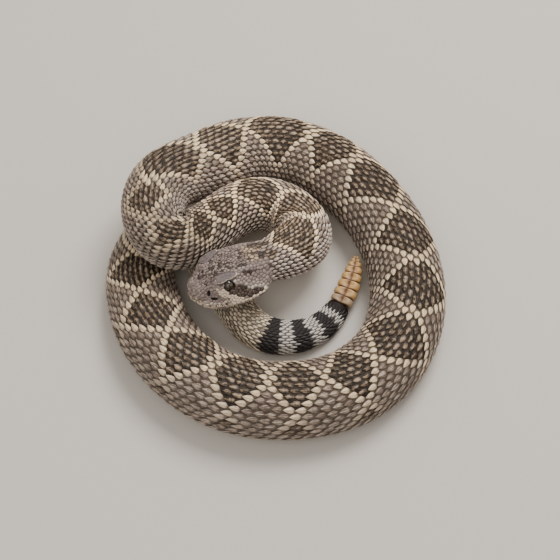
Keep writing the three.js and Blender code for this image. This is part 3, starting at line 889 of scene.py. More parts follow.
# ---------------------------------------------------------------- head scales and shields
class HeadGround:
    """The head's surface as many small faces, where the small scales take root. Scales are
    longer than wide, so distances along the head count less than those across it."""

    LONGER = 1.25
    MIDDLE_POINTS = 22  # of the middle line that lie in the head

    def __init__(self):
        rows = np.flatnonzero(surface.s < HEAD_END + 5)
        grid = surface.points[rows]
        s, a = surface.s[rows], surface.a
        self.s = np.repeat((s[:-1] + s[1:]) / 2, COLUMNS)
        self.a = np.tile((a[:-1] + a[1:]) / 2, len(s) - 1)
        self.places, self.normals = surface.at(self.s, self.a)
        self.section = surface.section_place(self.s, self.a)
        across = np.cross(grid[1:, :-1] - grid[:-1, :-1], grid[:-1, 1:] - grid[:-1, :-1])
        self.areas = np.linalg.norm(across, axis=2).ravel()
        self.axis = unit(LINE[self.MIDDLE_POINTS, :3] - LINE[0, :3])
        self.squeezed = self.squeeze(self.places)
        number = np.arange(grid.shape[0] * grid.shape[1]).reshape(grid.shape[:2])
        corners = (number[:-1, :-1], number[1:, :-1], number[1:, 1:], number[:-1, 1:])
        faces = np.stack([c.ravel() for c in corners], axis=1)
        self.tree = BVHTree.FromPolygons(grid.reshape(-1, 3).tolist(), faces.tolist())

    def squeeze(self, vectors):
        """Places with their distances along the head made smaller."""
        return vectors - (1 - 1 / self.LONGER) * (vectors @ self.axis)[..., None] * self.axis

    def head_at(self, points):
        """Distance from the snout, place across and up of any points near the surface."""
        found = np.array([self.tree.find_nearest(Vector(point))[2] for point in points])
        return np.concatenate([self.s[found, None], self.section[found]], axis=1)

    def directions(self, normal):
        """Along the head and across it, in the plane that this normal stands on."""
        along = unit(self.axis - normal * (self.axis @ normal))
        return along, np.cross(normal, along)

    def closest(self, place):
        """The face that is nearest to a place in space."""
        return int(np.linalg.norm(self.places - place, axis=1).argmin())

    def beside(self, s, side, up):
        """The face on one side of the head that is nearest to this place seen from the side."""
        away = np.hypot(self.s - s, self.section[:, 1] - up)
        return int(np.where(self.section[:, 0] * side > 2, away, FAR).argmin())

    def nearest(self, s, across, up):
        """The face whose section place is nearest; across is + on the left."""
        away = np.abs(self.s - s) + np.hypot(self.section[:, 0] - across, self.section[:, 1] - up)
        return int(away.argmin())


NOTHING, SMALL, LABIALS = 0, 1, 2  # what grows from a root: no scale, a small one or a lip's


def scale_size(s, up):
    """Distance between two small scales of the head, from the middle of one to the next."""
    size = mix(1.75, 1.45, ease(8, 16, s))
    size = mix(size, 1.75, ease(26, 36, s))
    size = mix(size, 2.3, ease(40, 50, s))
    return mix(size, 2.6, 1 - ease(4.5, 9, up))


def tree_of(places):
    """A tree that finds the places near to another one."""
    tree = KDTree(len(places))
    for k, place in enumerate(places):
        tree.insert(place, k)
    tree.balance()
    return tree


def lip_places(side, rise):
    """Evenly spaced places along the lips, above the mouth line or, with rise < 0, below it."""
    s = np.linspace(-1.2, MOUTH_CORNER - 1, 240)
    lip, mouth = read(HEAD, s)[:, 0], read(HEAD, s)[:, 4]
    lip = np.where(s < 0, lip * np.clip(1 + s / 1.6, 0, 1), lip)
    faces = [ground.nearest(*spot) for spot in zip(s, side * lip, mouth + rise)]
    path = distances(ground.places[faces])
    wanted = np.arange(LABIAL * 0.95, path[-1], LABIAL)
    return [faces[int(np.abs(path - w).argmin())] for w in wanted]


def outline_on_top(side, outline):
    """An outline given by distance and place across, on the head's upper side."""
    dense = np.array(outline, float)
    around = [np.roll(dense, k, axis=0)[:, None] for k in (1, 0, -1, -2)]
    dense = curve_through(*around, shares(6)[None, :, None]).reshape(-1, 2)
    middle = COLUMNS // 2
    a = []
    for s, across in dense:
        i = int(np.abs(surface.s - s).argmin())
        half = surface.outline[i, middle:, 0]
        a.append(np.interp(across, half[: half.argmax()], surface.a[middle : middle + half.argmax()]))
    return surface.at(dense[:, 0], side * np.array(a))[0]


def hole_roots(side, hole):
    """Empty roots in a nostril or heat pit, and a ring of small scales round it."""
    roots = []
    for reach, count, kind in ((0, 1, NOTHING), (0.75, 8, NOTHING), (1, 9, SMALL)):
        out = 0.75 if kind == SMALL else 0
        for turn in 0.3 + np.arange(count) * 2 * np.pi / count:
            y = (reach * hole["tall"] + out) * math.sin(turn)
            x = (reach * hole["long"] + out) * math.cos(turn) + hole["lean"] * y
            x, y = hole["along"] + x, hole["up"] + y
            if kind == NOTHING or y > read(HEAD, x)[0, 4] + 3.4:
                roots.append((ground.beside(x, side, y), kind))
    return roots


def eye_roots(side):
    """Empty roots in an eye's opening and a ring of small scales round it, open at the brow."""
    roots = []
    for radius, count, kind in ((0.1, 1, NOTHING), (2.75, 10, NOTHING), (4.7, 15, SMALL)):
        for turn in np.arange(count) * 2 * np.pi / count:
            s, up = EYE["along"] + radius * math.cos(turn), EYE["up"] + radius * math.sin(turn)
            if kind == NOTHING or up < EYE["up"] + 2.7:
                roots.append((ground.nearest(s, side * 17, up), kind))
    return roots


def brow_roots(side):
    """Empty roots under the shield over one eye."""
    edge = outline_on_top(side, BROW_SHIELD)
    middle = edge.mean(axis=0)
    roots = []
    for share, every in ((0.8, 3), (0.45, 8), (0.1, 8)):
        roots += [(ground.closest(place), NOTHING) for place in mix(middle, edge[::every], share)]
    return roots


def fixed_roots():
    """Roots that don't move: the lips' scales, those round the eyes, nostrils and pits, and
    empty ones that keep the small scales out of an opening or from under a shield."""
    roots = [(ground.nearest(-1.1, 0, up), LABIALS) for up in (10.8, 6.2)]
    for side in (1, -1):
        for rise in (1.7, -1.7):
            roots += [(face, LABIALS) for face in lip_places(side, rise)]
        for hole in (NOSTRIL, HEAT_PIT):
            roots += hole_roots(side, hole)
        roots += eye_roots(side) + brow_roots(side)
    return roots


def rooted_cells():
    """Roots of all the head's scales: the fixed ones, then as many small ones as fit, which
    then move to the middles of their cells."""
    fixed = fixed_roots()
    places = [ground.squeezed[face] for face, _ in fixed]
    size = scale_size(ground.s, ground.section[:, 1])
    loose = []
    for face in rng.permutation(len(ground.s)):
        place = ground.squeezed[face]
        away = np.linalg.norm(np.array(places) - place, axis=1).min()
        if away > size[face]:
            places.append(place)
            loose.append(face)
    faces = np.array([face for face, _ in fixed] + loose)
    kinds = np.array([kind for _, kind in fixed] + [SMALL] * len(loose))
    weight = ground.areas / size**2
    for _ in range(4):
        tree = tree_of(ground.squeezed[faces])
        owner = np.array([tree.find(place)[1] for place in ground.squeezed])
        total = np.bincount(owner, weight, len(faces))
        middle = np.stack(
            [np.bincount(owner, weight * column, len(faces)) for column in ground.squeezed.T], 1
        ) / np.maximum(total, 1e-9)[:, None]
        for k in range(len(fixed), len(faces)):
            faces[k] = np.linalg.norm(ground.squeezed - middle[k], axis=1).argmin()
    return faces, kinds


def laid_cell(cell, face, reach, height, keel=0.0):
    """Points of one cushion on the head, with how far it reaches in each direction."""
    root, normal = ground.places[face], ground.normals[face]
    along, across = ground.directions(normal)
    rings = (len(cell.points) - 2) // len(cell.turn)
    reach = np.r_[0, np.tile(reach, rings), 0][:, None]
    flat = cell.points[:, :2] * reach * np.array([ground.LONGER, 1])
    points = []
    for (x, y), (_, _, share), (_, _, rim) in zip(flat, cell.points, cell.lie):
        place, facing, _, _ = ground.tree.find_nearest(Vector(root + along * x + across * y))
        facing = np.array(facing) * math.copysign(1, np.dot(facing, normal))
        rise = share * height + keel * max(0, 1 - abs(y) / 0.4) * (1 - rim**2) - HEAD_COAT
        points.append(np.array(place) + unit(facing + normal) * rise)
    return np.array(points)


def cell_reach(k, squeezed, normal, tree, most):
    """How far small scale k reaches in each direction before it meets its neighbours."""
    along, across = ground.directions(normal)
    others = [j for _, j, _ in tree.find_range(squeezed[k], 4.5 * most) if j != k]
    gaps = squeezed[others] - squeezed[k]
    size = np.linalg.norm(gaps, axis=1)
    flat = np.stack([gaps @ along, gaps @ across], axis=1)
    flat = flat / np.maximum(1e-6, np.linalg.norm(flat, axis=1))[:, None]
    facing = flat @ np.stack([np.cos(GRANULE.turn), np.sin(GRANULE.turn)])
    limit = np.where(facing > 0.05, size[:, None] / 2 / np.maximum(facing, 0.05), FAR)
    limit = np.vstack([limit, np.full((1, len(GRANULE.turn)), most)])
    return (limit**-12.0).sum(axis=0) ** (-1 / 12) * 0.985 - 0.05


BROW_STRIP = (0.91, 0.49, 0.085)  # foot, width and height of a brow shield's patch of the map
BELOW_STRIP = 0.9  # height of the map that the small scales share
BROW_PICK = 2.0  # marks a brow shield where other scales have a random number from 0 to 1


def ranked_patches(faces):
    """Patches for the small scales, ranked by length in columns and by girth in a column."""
    count = len(faces)
    columns = math.ceil(math.sqrt(count * 1.3))
    tall = math.ceil(count / columns) + 4
    rank = np.empty(count, int)
    rank[np.lexsort((ground.a[faces], ground.s[faces]))] = np.arange(count)
    column, row = rank // tall, np.empty(count, int)
    for c in range(column.max() + 1):
        here = np.flatnonzero(column == c)
        row[here[np.argsort(ground.a[faces[here]])]] = np.arange(len(here))
    cell = np.array([1 / (column.max() + 1), BELOW_STRIP / tall])
    return np.concatenate([np.stack([column, row], 1) * cell, np.tile(cell, (count, 1))], axis=1)


def add_small_scales(coat):
    """The small scales of the head and the scales of its lips."""
    faces, kinds = rooted_cells()
    size = scale_size(ground.s, ground.section[:, 1])
    squeezed = ground.squeezed[faces]
    tree = tree_of(squeezed)
    grown = (kinds != NOTHING) & (ground.s[faces] < HEAD_END + 1)
    points = []
    for k in np.flatnonzero(grown):
        face = faces[k]
        most = 1.1 * size[face] if kinds[k] == SMALL else LABIAL_REACH
        reach = cell_reach(k, squeezed, ground.normals[face], tree, most)
        keel = 0.16 * float(ease(30, 44, ground.s[face])) * (ground.section[face, 1] > 10)
        points.append(laid_cell(GRANULE, face, reach, GRANULE_HEIGHT, keel))
    faces = faces[grown]
    head_at = np.concatenate([ground.s[faces, None], ground.section[faces]], axis=1)
    way = np.stack([ground.s[faces], ground.a[faces], rng.random(len(faces))], axis=1)
    coat.add(
        GRANULE, np.array(points), ranked_patches(faces), head_mark=head_markings(*head_at.T),
        way=way, head_at=head_at,
    )


def brow_plate(side):
    """Points of the large smooth shield over one eye; its outer edge stands over the eye."""
    edge = outline_on_top(side, BROW_SHIELD)
    face = ground.closest(edge.mean(axis=0))
    root, normal = ground.places[face], ground.normals[face]
    along, across = ground.directions(normal)
    flat = np.stack([(edge - root) @ along / ground.LONGER, (edge - root) @ across], axis=1)
    turn = np.arctan2(flat[:, 1], flat[:, 0])
    order = np.argsort(turn)
    reach = np.interp(
        BROW_PLATE.turn, turn[order], np.linalg.norm(flat, axis=1)[order], period=2 * np.pi
    )
    points = laid_cell(BROW_PLATE, face, reach, BROW_HEIGHT)
    outside = across * np.sign(across @ on_line(LEFT, EYE["along"])) * side
    out = ease(0, 4.5, (points - root) @ outside) * (BROW_PLATE.points[:, 2] > 0)
    return points + outside * (0.9 * out**2)[:, None] + normal * (0.75 * out)[:, None]


def add_brow_shields(coat):
    """The two large smooth shields over the eyes."""
    foot, wide, tall = BROW_STRIP
    for number, side in enumerate((1, -1)):
        points = brow_plate(side)
        coat.add(
            BROW_PLATE, points[None], np.array([[0.5 * number, foot, wide, tall]]),
            head_mark=np.array([[OUTSIDE, OUTSIDE, OUTSIDE]]),
            way=np.array([[EYE["along"], 0.2 * side, BROW_PICK]]),
            head_at=ground.head_at(points)[None],
        )


ground = HeadGround()


# ---------------------------------------------------------------- finishes
def tone(red, green, blue):
    """A colour given as 0-255 on screen, as the shader takes it."""
    parts = [c / 255 for c in (red, green, blue)]
    return tuple(c / 12.92 if c <= 0.04045 else ((c + 0.055) / 1.055) ** 2.4 for c in parts) + (1,)


class Value:
    """A number that changes over a surface. Sums on it add Math nodes."""

    def __init__(self, finish, socket):
        self.finish, self.socket = finish, socket

    def _math(self, operation, *inputs):
        node = self.finish.node("ShaderNodeMath", {"operation": operation}, dict(enumerate(inputs)))
        return Value(self.finish, node.outputs[0])

    def __add__(self, other):
        return self._math("ADD", self, other)

    __radd__ = __add__

    def __mul__(self, other):
        return self._math("MULTIPLY", self, other)

    __rmul__ = __mul__

    def __sub__(self, other):
        return self._math("SUBTRACT", self, other)

    def __rsub__(self, other):
        return self._math("SUBTRACT", other, self)

    def __abs__(self):
        return self._math("ABSOLUTE", self)

    def least(self, other):
        return self._math("MINIMUM", self, other)

    def most(self, other):
        return self._math("MAXIMUM", self, other)

    def part(self):
        """What is left after the point."""
        return self._math("FRACT", self)

    def rise(self, low, high):
        """0 below low, 1 above high and smooth between."""
        node = self.finish.node(
            "ShaderNodeMapRange",
            {"interpolation_type": "SMOOTHSTEP"},
            {"Value": self, "From Min": low, "From Max": high},
        )
        return Value(self.finish, node.outputs["Result"])

    def near(self, middle, full, none):
        """1 within full of the middle and 0 beyond none."""
        return 1 - abs(self - middle).rise(full, none)


class Finish:
    """One material and what is needed to write it down."""

    def __init__(self, name, roughness=0.6, shine=0.5):
        self.material = bpy.data.materials.new(name)
        self.material.use_nodes = True
        self.tree = self.material.node_tree
        self.shader = self.tree.nodes["Principled BSDF"]
        self.shader.inputs["Roughness"].default_value = roughness
        self.shader.inputs["Specular IOR Level"].default_value = shine

    def node(self, kind, settings=None, values=None):
        """A node with its settings, and the values or links of its sockets."""
        node = self.tree.nodes.new(kind)
        for key, value in (settings or {}).items():
            setattr(node, key, value)
        for key, value in (values or {}).items():
            if isinstance(value, Value):
                value = value.socket
            if isinstance(value, bpy.types.NodeSocket):
                self.tree.links.new(value, node.inputs[key])
            else:
                node.inputs[key].default_value = value
        return node

    def parts(self, name):
        """The three numbers of an attribute."""
        attribute = self.node("ShaderNodeAttribute", {"attribute_name": name})
        parts = self.node("ShaderNodeSeparateXYZ", None, {0: attribute.outputs["Vector"]})
        return [Value(self, socket) for socket in parts.outputs]

    def blend(self, share, a, b, how="MIX"):
        """Colour a where share is 0 and b where it is 1."""
        node = self.node(
            "ShaderNodeMix", {"data_type": "RGBA", "blend_type": how}, {0: share, 6: a, 7: b}
        )
        return node.outputs[2]

    def joined(self, x, y, z):
        """Three values as one vector."""
        return self.node("ShaderNodeCombineXYZ", None, {0: x, 1: y, 2: z}).outputs[0]

    def shaded(self, colour, share):
        """A colour made darker, or lighter where share is above 1."""
        return self.blend(1.0, colour, self.joined(share, share, share), "MULTIPLY")

    def noise(self, scale, detail=3, place=None):
        """Soft blotches: the larger the scale, the smaller they are."""
        place = place or self.node("ShaderNodeTexCoord").outputs["Object"]
        node = self.node(
            "ShaderNodeTexNoise", None,
            {"Vector": place, "Scale": scale, "Detail": detail, "Roughness": 0.55},
        )
        return Value(self, node.outputs["Fac"])

    def colour(self, socket):
        """Takes a blend's result as the finish's colour."""
        self.tree.links.new(socket, self.shader.inputs["Base Color"])

    def drive(self, name, value):
        """Lets a value change one of the finish's numbers over the surface."""
        self.tree.links.new(value.socket, self.shader.inputs[name])

    def bump(self, height, strength, distance):
        """Fine relief, distance metres high."""
        node = self.node(
            "ShaderNodeBump", None, {"Strength": strength, "Distance": distance, "Height": height}
        )
        self.tree.links.new(node.outputs[0], self.shader.inputs["Normal"])


CREAM = tone(250, 226, 186)
CREAM_LINE = tone(150, 120, 90)
PALE_FLANK = tone(222, 203, 180)
DARK_EDGE = tone(22, 16, 11)
DARK_MIDDLE = tone(122, 99, 76)
DARK_KEEL = tone(188, 163, 134)
TAUPE_SHADE = tone(92, 77, 65)
TAUPE = tone(172, 153, 136)
TAUPE_LIGHT = tone(182, 163, 146)
TAUPE_PALE = tone(222, 205, 187)
LOW_FLANK = tone(194, 181, 170)
BELLY = tone(214, 200, 176)
# painted shade: the near black of the gaps between the scales
GAP_SHADE = tone(30, 23, 19)
KHAKI = tone(248, 230, 204)
KHAKI_DARK = tone(84, 66, 50)
BAND_WHITE = tone(212, 206, 198)
BAND_BLACK = tone(38, 34, 36)
MAUVE = tone(157, 141, 134)
MAUVE_SHADE = tone(112, 98, 93)
MAUVE_LIGHT = tone(182, 168, 160)
STRIPE_DARK = tone(54, 43, 37)
STRIPE_LIGHT = tone(106, 90, 80)
LILAC_WHITE = tone(214, 200, 190)
CHEEK_CREAM = tone(222, 206, 184)
SPOT = tone(58, 43, 36)
SPOT_DARK = tone(44, 33, 28)
# painted shade inside the nostrils and heat pits
HOLE_SHADE = tone(28, 20, 17)
TAN = tone(190, 162, 132)
TAN_SHADE = tone(128, 106, 86)
BROW_SHADE = tone(96, 86, 86)
BROW_LIGHT = tone(124, 112, 111)
IRIS_DARK = tone(50, 43, 35)
IRIS_LIGHT = tone(94, 81, 61)
IRIS_TOP = tone(112, 98, 74)
EYE_EDGE = tone(24, 20, 18)
PUPIL = tone(8, 7, 8)
HORN = tone(184, 142, 86)
HORN_LIGHT = tone(212, 172, 112)
HORN_CLOUD = tone(168, 126, 82)
HORN_ROOT = tone(150, 136, 118)
GROOVE = tone(116, 76, 44)
# painted shade at the deepest part of the grooves and of the ends where segments meet
GROOVE_SHADE = tone(60, 38, 24)
FLOOR = tone(206, 200, 192)

# Distances from the snout over which the body's looks change.
NECK_FADES = (80, 135)  # the mauve of the head into the body's colours
FOLD_ENDS = (200, 240)  # before it the low rows have hardly any pale lines
BLOTCHES_BEGIN = (300, 345)  # after it there are blotches under the diamonds
FRONT_ENDS = (330, 430)  # before it the ground between the diamonds is paler
TAIL_BEGINS = (862, 900)  # after it the scales are khaki
# Lengths of the body painted lighter, as painted light where the coil lies in shade: how much
# lighter, the middle, how far it is full and how far it has faded.
PAINTED_LIGHT_LENGTHS = [(0.46, 128, 60, 90), (0.16, 390, 60, 100)]
# Where the tail's bands begin: black, pale, black and so on from the first.
TAIL_BANDS = (1022.5, 1032, 1041, 1050.5, 1059.5, 1069, 1074.5)
BAND_JAG = 2.4  # how far a band's edge steps from scale to scale

# Where the head's looks change.
TAN_BEGINS = (34, 44)  # distance from the snout; behind it the crown turns tan
GREY_LIPS_END = (16, 20)  # the same; in front of it the lips are grey and specked
CROWN_FADES = (5, 11)  # place across where the tan and the spots fade out
CROWN_BEGINS = (15, 18)  # height above which the crown has spots


class BodyPlace:
    """What the body's finishes read at a place: where it lies in the pattern, on the body and
    on its scale, with the noises and steps that several of its colours share."""

    def __init__(self, finish):
        self.inside, self.blotch, self.row = finish.parts("mark")
        self.s, _, self.pick = finish.parts("way")
        self.t, q, _ = finish.parts("lie")
        self.stroke = self.streaks(finish, q)
        self.q = abs(q)
        self.keel = 1 - self.q.rise(0.05, 0.3)
        self.rim = self.q.most(abs(self.t * 2 - 1.05)).rise(0.66, 0.95)
        self.soft = finish.noise(90, 2)
        self.fleck = finish.noise(380, 2)
        self.other = another_pick(self.pick)
        self.front = 1 - self.s.rise(*FRONT_ENDS)
        self.rear = self.s.rise(*BLOTCHES_BEGIN)
        self.tail = self.s.rise(*TAIL_BEGINS)
        # 1 on the plain ground between the diamonds of the thick part of the body
        self.plain = (1 - self.inside.rise(-1.2, -0.4)) * (1 - self.front) * (1 - self.tail)

    def streaks(self, finish, q):
        """Light and dark strokes along a scale, different on each one."""
        return finish.noise(1.6, 2, finish.joined(self.t * 1.1, q * 2.2, self.pick * 61))


def another_pick(pick):
    """A second random number for each scale, made from its first."""
    return (pick * 7.3 + 0.31).part()


def ground_colour(finish, at):
    """Taupe scales between the diamonds, paler at their tips and low on the flank, and along their
    keels partly by their own colour and partly by a painted highlight.
    """
    taupe = finish.blend(at.front, TAUPE, TAUPE_LIGHT)
    colour = finish.blend(at.stroke.rise(0.42, 0.58), TAUPE_SHADE, taupe)
    # partly a painted highlight along the keel, besides the keel's own paler tone
    ridge = at.keel * at.t.rise(0.3, 0.7) * at.stroke.rise(0.35, 0.6)
    colour = finish.blend(ridge * 0.6, colour, TAUPE_PALE)
    colour = finish.blend(at.rim * at.t.rise(0.35, 0.7) * 0.6, colour, TAUPE_PALE)
    colour = finish.blend(at.other.rise(0.6, 0.86) * 0.45, colour, TAUPE_SHADE)
    colour = finish.blend(at.soft.rise(0.5, 0.7) * (1 - at.front) * 0.4, colour, TAUPE_SHADE)
    low = at.row.rise(4.5, 9) * (0.25 + 0.45 * at.front)
    colour = finish.blend(low * at.stroke.rise(0.35, 0.55), colour, LOW_FLANK)
    return finish.blend(at.fleck.rise(0.5, 0.6) * 0.5, colour, TAUPE_SHADE)


def diamond_colour(finish, at):
    """Dark scales: nearly black at the edge of a diamond, browner in its middle, with painted shade in
    the root corners and a pale stroke along the keel, partly their own tan and partly a painted
    highlight."""
    depth = at.inside.rise(0.5, 3.5)
    core = finish.blend(at.stroke.rise(0.44, 0.6), DARK_EDGE, DARK_MIDDLE)
    core = finish.blend(depth * at.other.rise(0.55, 0.95) * 0.5, core, TAUPE)
    # partly a painted highlight: a pale stroke along the keel, besides the keel's own tan
    ridge = at.keel * at.t.rise(0.25, 0.6) * (0.3 + 0.6 * depth) * (0.2 + at.other * 1.1)
    colour = finish.blend(ridge, core, DARK_KEEL)
    tip = at.rim * at.t.rise(0.5, 0.8) * at.other * (0.3 + 0.5 * depth)
    colour = finish.blend(tip, colour, DARK_KEEL)
    colour = finish.blend((1 - at.fleck.rise(0.38, 0.46)) * 0.45, colour, DARK_KEEL)
    # painted shade in the corners at each scale's root, together with random dark mottling and flecks
    corner = (at.q.rise(0.4, 0.8) * (1 - at.t.rise(0.45, 0.75))).most(at.soft.rise(0.58, 0.72) * 0.5)
    return finish.blend(corner.most(at.fleck.rise(0.52, 0.6) * 0.8) * 0.8, colour, DARK_EDGE)


def pale_colour(finish, at):
    """Cream scales of the pale lines, duller down the flank, with fine brown strokes."""
    colour = finish.blend(at.row.rise(1.5, 8), CREAM, PALE_FLANK)
    colour = finish.blend(at.other.rise(0.3, 1) * 0.35, colour, TAUPE_LIGHT)
    colour = finish.blend(at.fleck.rise(0.55, 0.65) * 0.35, colour, TAUPE_LIGHT)
    strokes = at.stroke.near(0.5, 0.015, 0.06) * (1 - at.rim)
    return finish.blend(strokes.most(1 - at.q.rise(0.02, 0.12)) * 0.7, colour, CREAM_LINE)


def pale_lines(at):
    """1 on the pale lines round the diamonds; weaker round the blotches and on the low rows."""
    round_blotch = at.blotch.near(0, 0.35, 0.65) * (1 - at.row.rise(7, 10)) * at.rear * 0.8
    lines = at.inside.near(0, 0.35, 0.65).most(round_blotch) * (1 - at.row.rise(8.5, 11) * 0.7)
    return lines * (1 - (1 - at.s.rise(*FOLD_ENDS)) * at.row.rise(5.5, 8) * 0.85)


def khaki_colour(finish, at):
    """The scales in front of the tail's bands."""
    colour = finish.blend(at.stroke.rise(0.4, 0.52), KHAKI_DARK, KHAKI)
    colour = finish.blend(at.other.near(0.1, 0.05, 0.12) * 0.6, colour, DARK_EDGE)
    return finish.blend(at.rim * at.t.rise(0.4, 0.8) * 0.65, colour, CREAM)


def banded_colour(finish, at, s):
    """The tail's black and pale bands at distances s."""
    colour = BAND_BLACK
    for i, edge in enumerate(TAIL_BANDS[1:]):
        band = BAND_BLACK if i % 2 else BAND_WHITE
        colour = finish.blend(s.rise(edge - 0.2, edge + 0.2), colour, band)
    colour = finish.blend(at.rim * 0.22, colour, LOW_FLANK)
    return finish.blend((1 - at.stroke.rise(0.35, 0.5)) * 0.35, colour, BAND_BLACK)


def body_colour(finish, at):
    """The ground, the diamonds, the side blotches, their pale edges, the neck and the tail."""
    dark = diamond_colour(finish, at)
    colour = finish.blend(at.inside.rise(0.35, 0.65), ground_colour(finish, at), dark)
    blotch = at.blotch.rise(0.35, 0.65) * (1 - at.row.rise(8.6, 10.4)) * at.rear
    colour = finish.blend(blotch * 0.8, colour, dark)
    colour = finish.blend(pale_lines(at), colour, pale_colour(finish, at))
    colour = finish.blend(at.row.rise(12.2, 13.2), colour, BELLY)

    neck = (1 - at.s.rise(*NECK_FADES)) * (1 - at.inside.rise(-0.6, 0))
    neck = neck * (0.45 + 0.55 * at.row.rise(3, 6))
    colour = finish.blend(neck * 0.35, colour, MAUVE_SHADE)
    tips = at.t.rise(0.5, 0.85) * at.other.rise(0.05, 0.4)
    colour = finish.blend(neck * tips * 0.85, colour, LILAC_WHITE)

    colour = finish.blend(at.tail, colour, khaki_colour(finish, at))
    jagged = at.s + (at.pick - 0.5) * BAND_JAG
    first = TAIL_BANDS[0]
    return finish.blend(jagged.rise(first - 0.4, first), colour, banded_colour(finish, at, jagged))


def scale_colour(finish):
    """The body's colours on its scales, with painted shade at their roots, sides and tips where they
    overlap and meet, and painted light on some lengths of the body.
    """
    at = BodyPlace(finish)
    # painted light: lengths of the body that lie in shade are made lighter
    light = 1
    for more, *length in PAINTED_LIGHT_LENGTHS:
        light = light + more * at.s.near(*length)
    # painted shade: each scale is darkened at its root, under the tip of the scale in front, at its
    # sides where it meets its neighbours and at the edge of its tip; less on the plain ground
    root = (0.1 + 0.3 * at.plain).most(at.t.rise(0.14, 0.48))
    sides = 1 - (0.75 - 0.3 * at.plain) * at.q.rise(0.78, 1)
    tip = 1 - 0.5 * at.t.rise(0.92, 1)
    shade = root * (0.86 + 0.32 * at.soft) * light * sides * tip
    return finish.shaded(body_colour(finish, at), shade)


def skin_colour(finish):
    """The same between the scales, darkened nearly to black by painted shade, less on the plain ground.
    """
    at = BodyPlace(finish)
    return finish.blend(0.85 - 0.2 * at.plain, body_colour(finish, at), GAP_SHADE)


def scale_finish():
    finish = Finish("body scales", shine=0.4)
    finish.colour(scale_colour(finish))
    grain = finish.noise(900, 3)
    finish.drive("Roughness", 0.46 + grain * 0.2)
    finish.bump(grain, 0.25, 0.0003)
    return finish.material


def skin_finish():
    finish = Finish("skin between the scales", roughness=0.7, shine=0.25)
    finish.colour(skin_colour(finish))
    finish.bump(finish.noise(700, 3), 0.4, 0.0004)
    return finish.material


class HeadPlace:
    """What the head's finishes read at a place, and the noises that its colours share."""

    def __init__(self, finish):
        self.stripe, self.temple, self.cheek = finish.parts("head_mark")
        _, _, pick = finish.parts("way")
        self.along, across, self.up = finish.parts("head_at")
        _, _, self.rim = finish.parts("lie")
        self.across = abs(across)
        self.speck = finish.noise(520, 3)
        self.cloud = finish.noise(190, 2)
        self.fine = finish.noise(1900, 2)
        self.pick = pick.least(1)
        self.other = another_pick(pick)
        self.brow = pick.rise(1.4, 1.6)  # 1 on the brow shields, which have BROW_PICK


def crown_colour(finish, at):
    """Mauve with a tan nape, dark specks, and here and there a dark scale."""
    colour = finish.blend((at.cloud * 0.6 + at.pick * 0.4).rise(0.3, 0.75), MAUVE_SHADE, MAUVE)
    colour = finish.blend(at.fine.rise(0.5, 0.7) * 0.5, colour, MAUVE_LIGHT)
    off_middle = at.across.rise(*CROWN_FADES)
    nape = at.along.rise(*TAN_BEGINS) * (1 - off_middle) * at.up.rise(14, 18)
    tan = finish.blend(at.pick.rise(0.2, 0.8), TAN_SHADE, TAN)
    colour = finish.blend(nape * 0.85, colour, tan)
    spotted = at.along.rise(4, 9) * at.up.rise(*CROWN_BEGINS) * (1 - off_middle * 0.8)
    spotted = spotted * (1 - at.brow)
    colour = finish.blend(at.speck.rise(0.56, 0.585) * spotted * 0.95, colour, SPOT)
    lone = (1 - at.rim.rise(0.85, 1)) * at.other.rise(0.85, 0.86)
    colour = finish.blend(lone * spotted * 0.95, colour, SPOT_DARK)
    return finish.blend(at.rim.rise(0.72, 0.95) * (1 - at.brow) * 0.25, colour, MAUVE_LIGHT)


def cheek_colour(finish, at):
    """Cream, and greyer with dark specks on the lips in front."""
    cream = (at.fine * 0.6 + at.pick * 0.4).rise(0.35, 0.7)
    colour = finish.blend(cream, PALE_FLANK, CHEEK_CREAM)
    front = (1 - at.along.rise(*GREY_LIPS_END)) * (1 - at.up.rise(11, 13))
    front = front * at.cheek.rise(0, 0.5)
    grey = front * at.up.rise(6, 7.4) * at.cloud.rise(0.35, 0.55)
    colour = finish.blend(grey * 0.7, colour, MAUVE)
    return finish.blend(front * at.speck.rise(0.54, 0.58) * 0.9, colour, SPOT)


def stripe_colour(finish, at):
    """Dark brown, mottled inside the stripe."""
    mottled = (at.fine * 0.5 + at.speck * 0.5).rise(0.44, 0.56) * at.stripe.rise(0.2, 1.4)
    return finish.blend(mottled, STRIPE_DARK, STRIPE_LIGHT)


def brow_colour(finish, at):
    """Dark mauve shields with a cream outer edge."""
    colour = finish.blend(at.fine.rise(0.4, 0.62), BROW_SHADE, BROW_LIGHT)
    colour = finish.blend(at.speck.rise(0.52, 0.6) * 0.5, colour, SPOT)
    edge = at.rim.rise(0.86, 0.92) * at.across.rise(12.2, 13.2)
    return finish.blend(edge, colour, CHEEK_CREAM)


def head_colour(finish, at):
    """The crown, a cream cheek, a dark stripe behind the eye with a pale line over it, and the
    brow shields."""
    colour = crown_colour(finish, at)
    colour = finish.blend(at.cheek.rise(-0.5, 0.3), colour, cheek_colour(finish, at))
    lilac = finish.blend(at.fine.rise(0.4, 0.6), MAUVE_LIGHT, LILAC_WHITE)
    by_stripe = 0.25 + 0.7 * at.stripe.rise(-1.9, -1)
    colour = finish.blend(at.temple.rise(-0.6, 0.6) * by_stripe, colour, lilac)
    colour = finish.blend(at.stripe.rise(-0.3, 0.3), colour, stripe_colour(finish, at))
    return finish.blend(at.brow, colour, brow_colour(finish, at))


def head_scale_colour(finish):
    """The head's colours on its scales, with painted shade at their edges, in the seams between them.
    """
    at = HeadPlace(finish)
    # painted shade in the seams: each small scale is darkened at its edge; the brow shields are not
    shade = 1 - 0.45 * at.rim.rise(0.84, 1) * (1 - at.brow)
    return finish.shaded(head_colour(finish, at), shade)


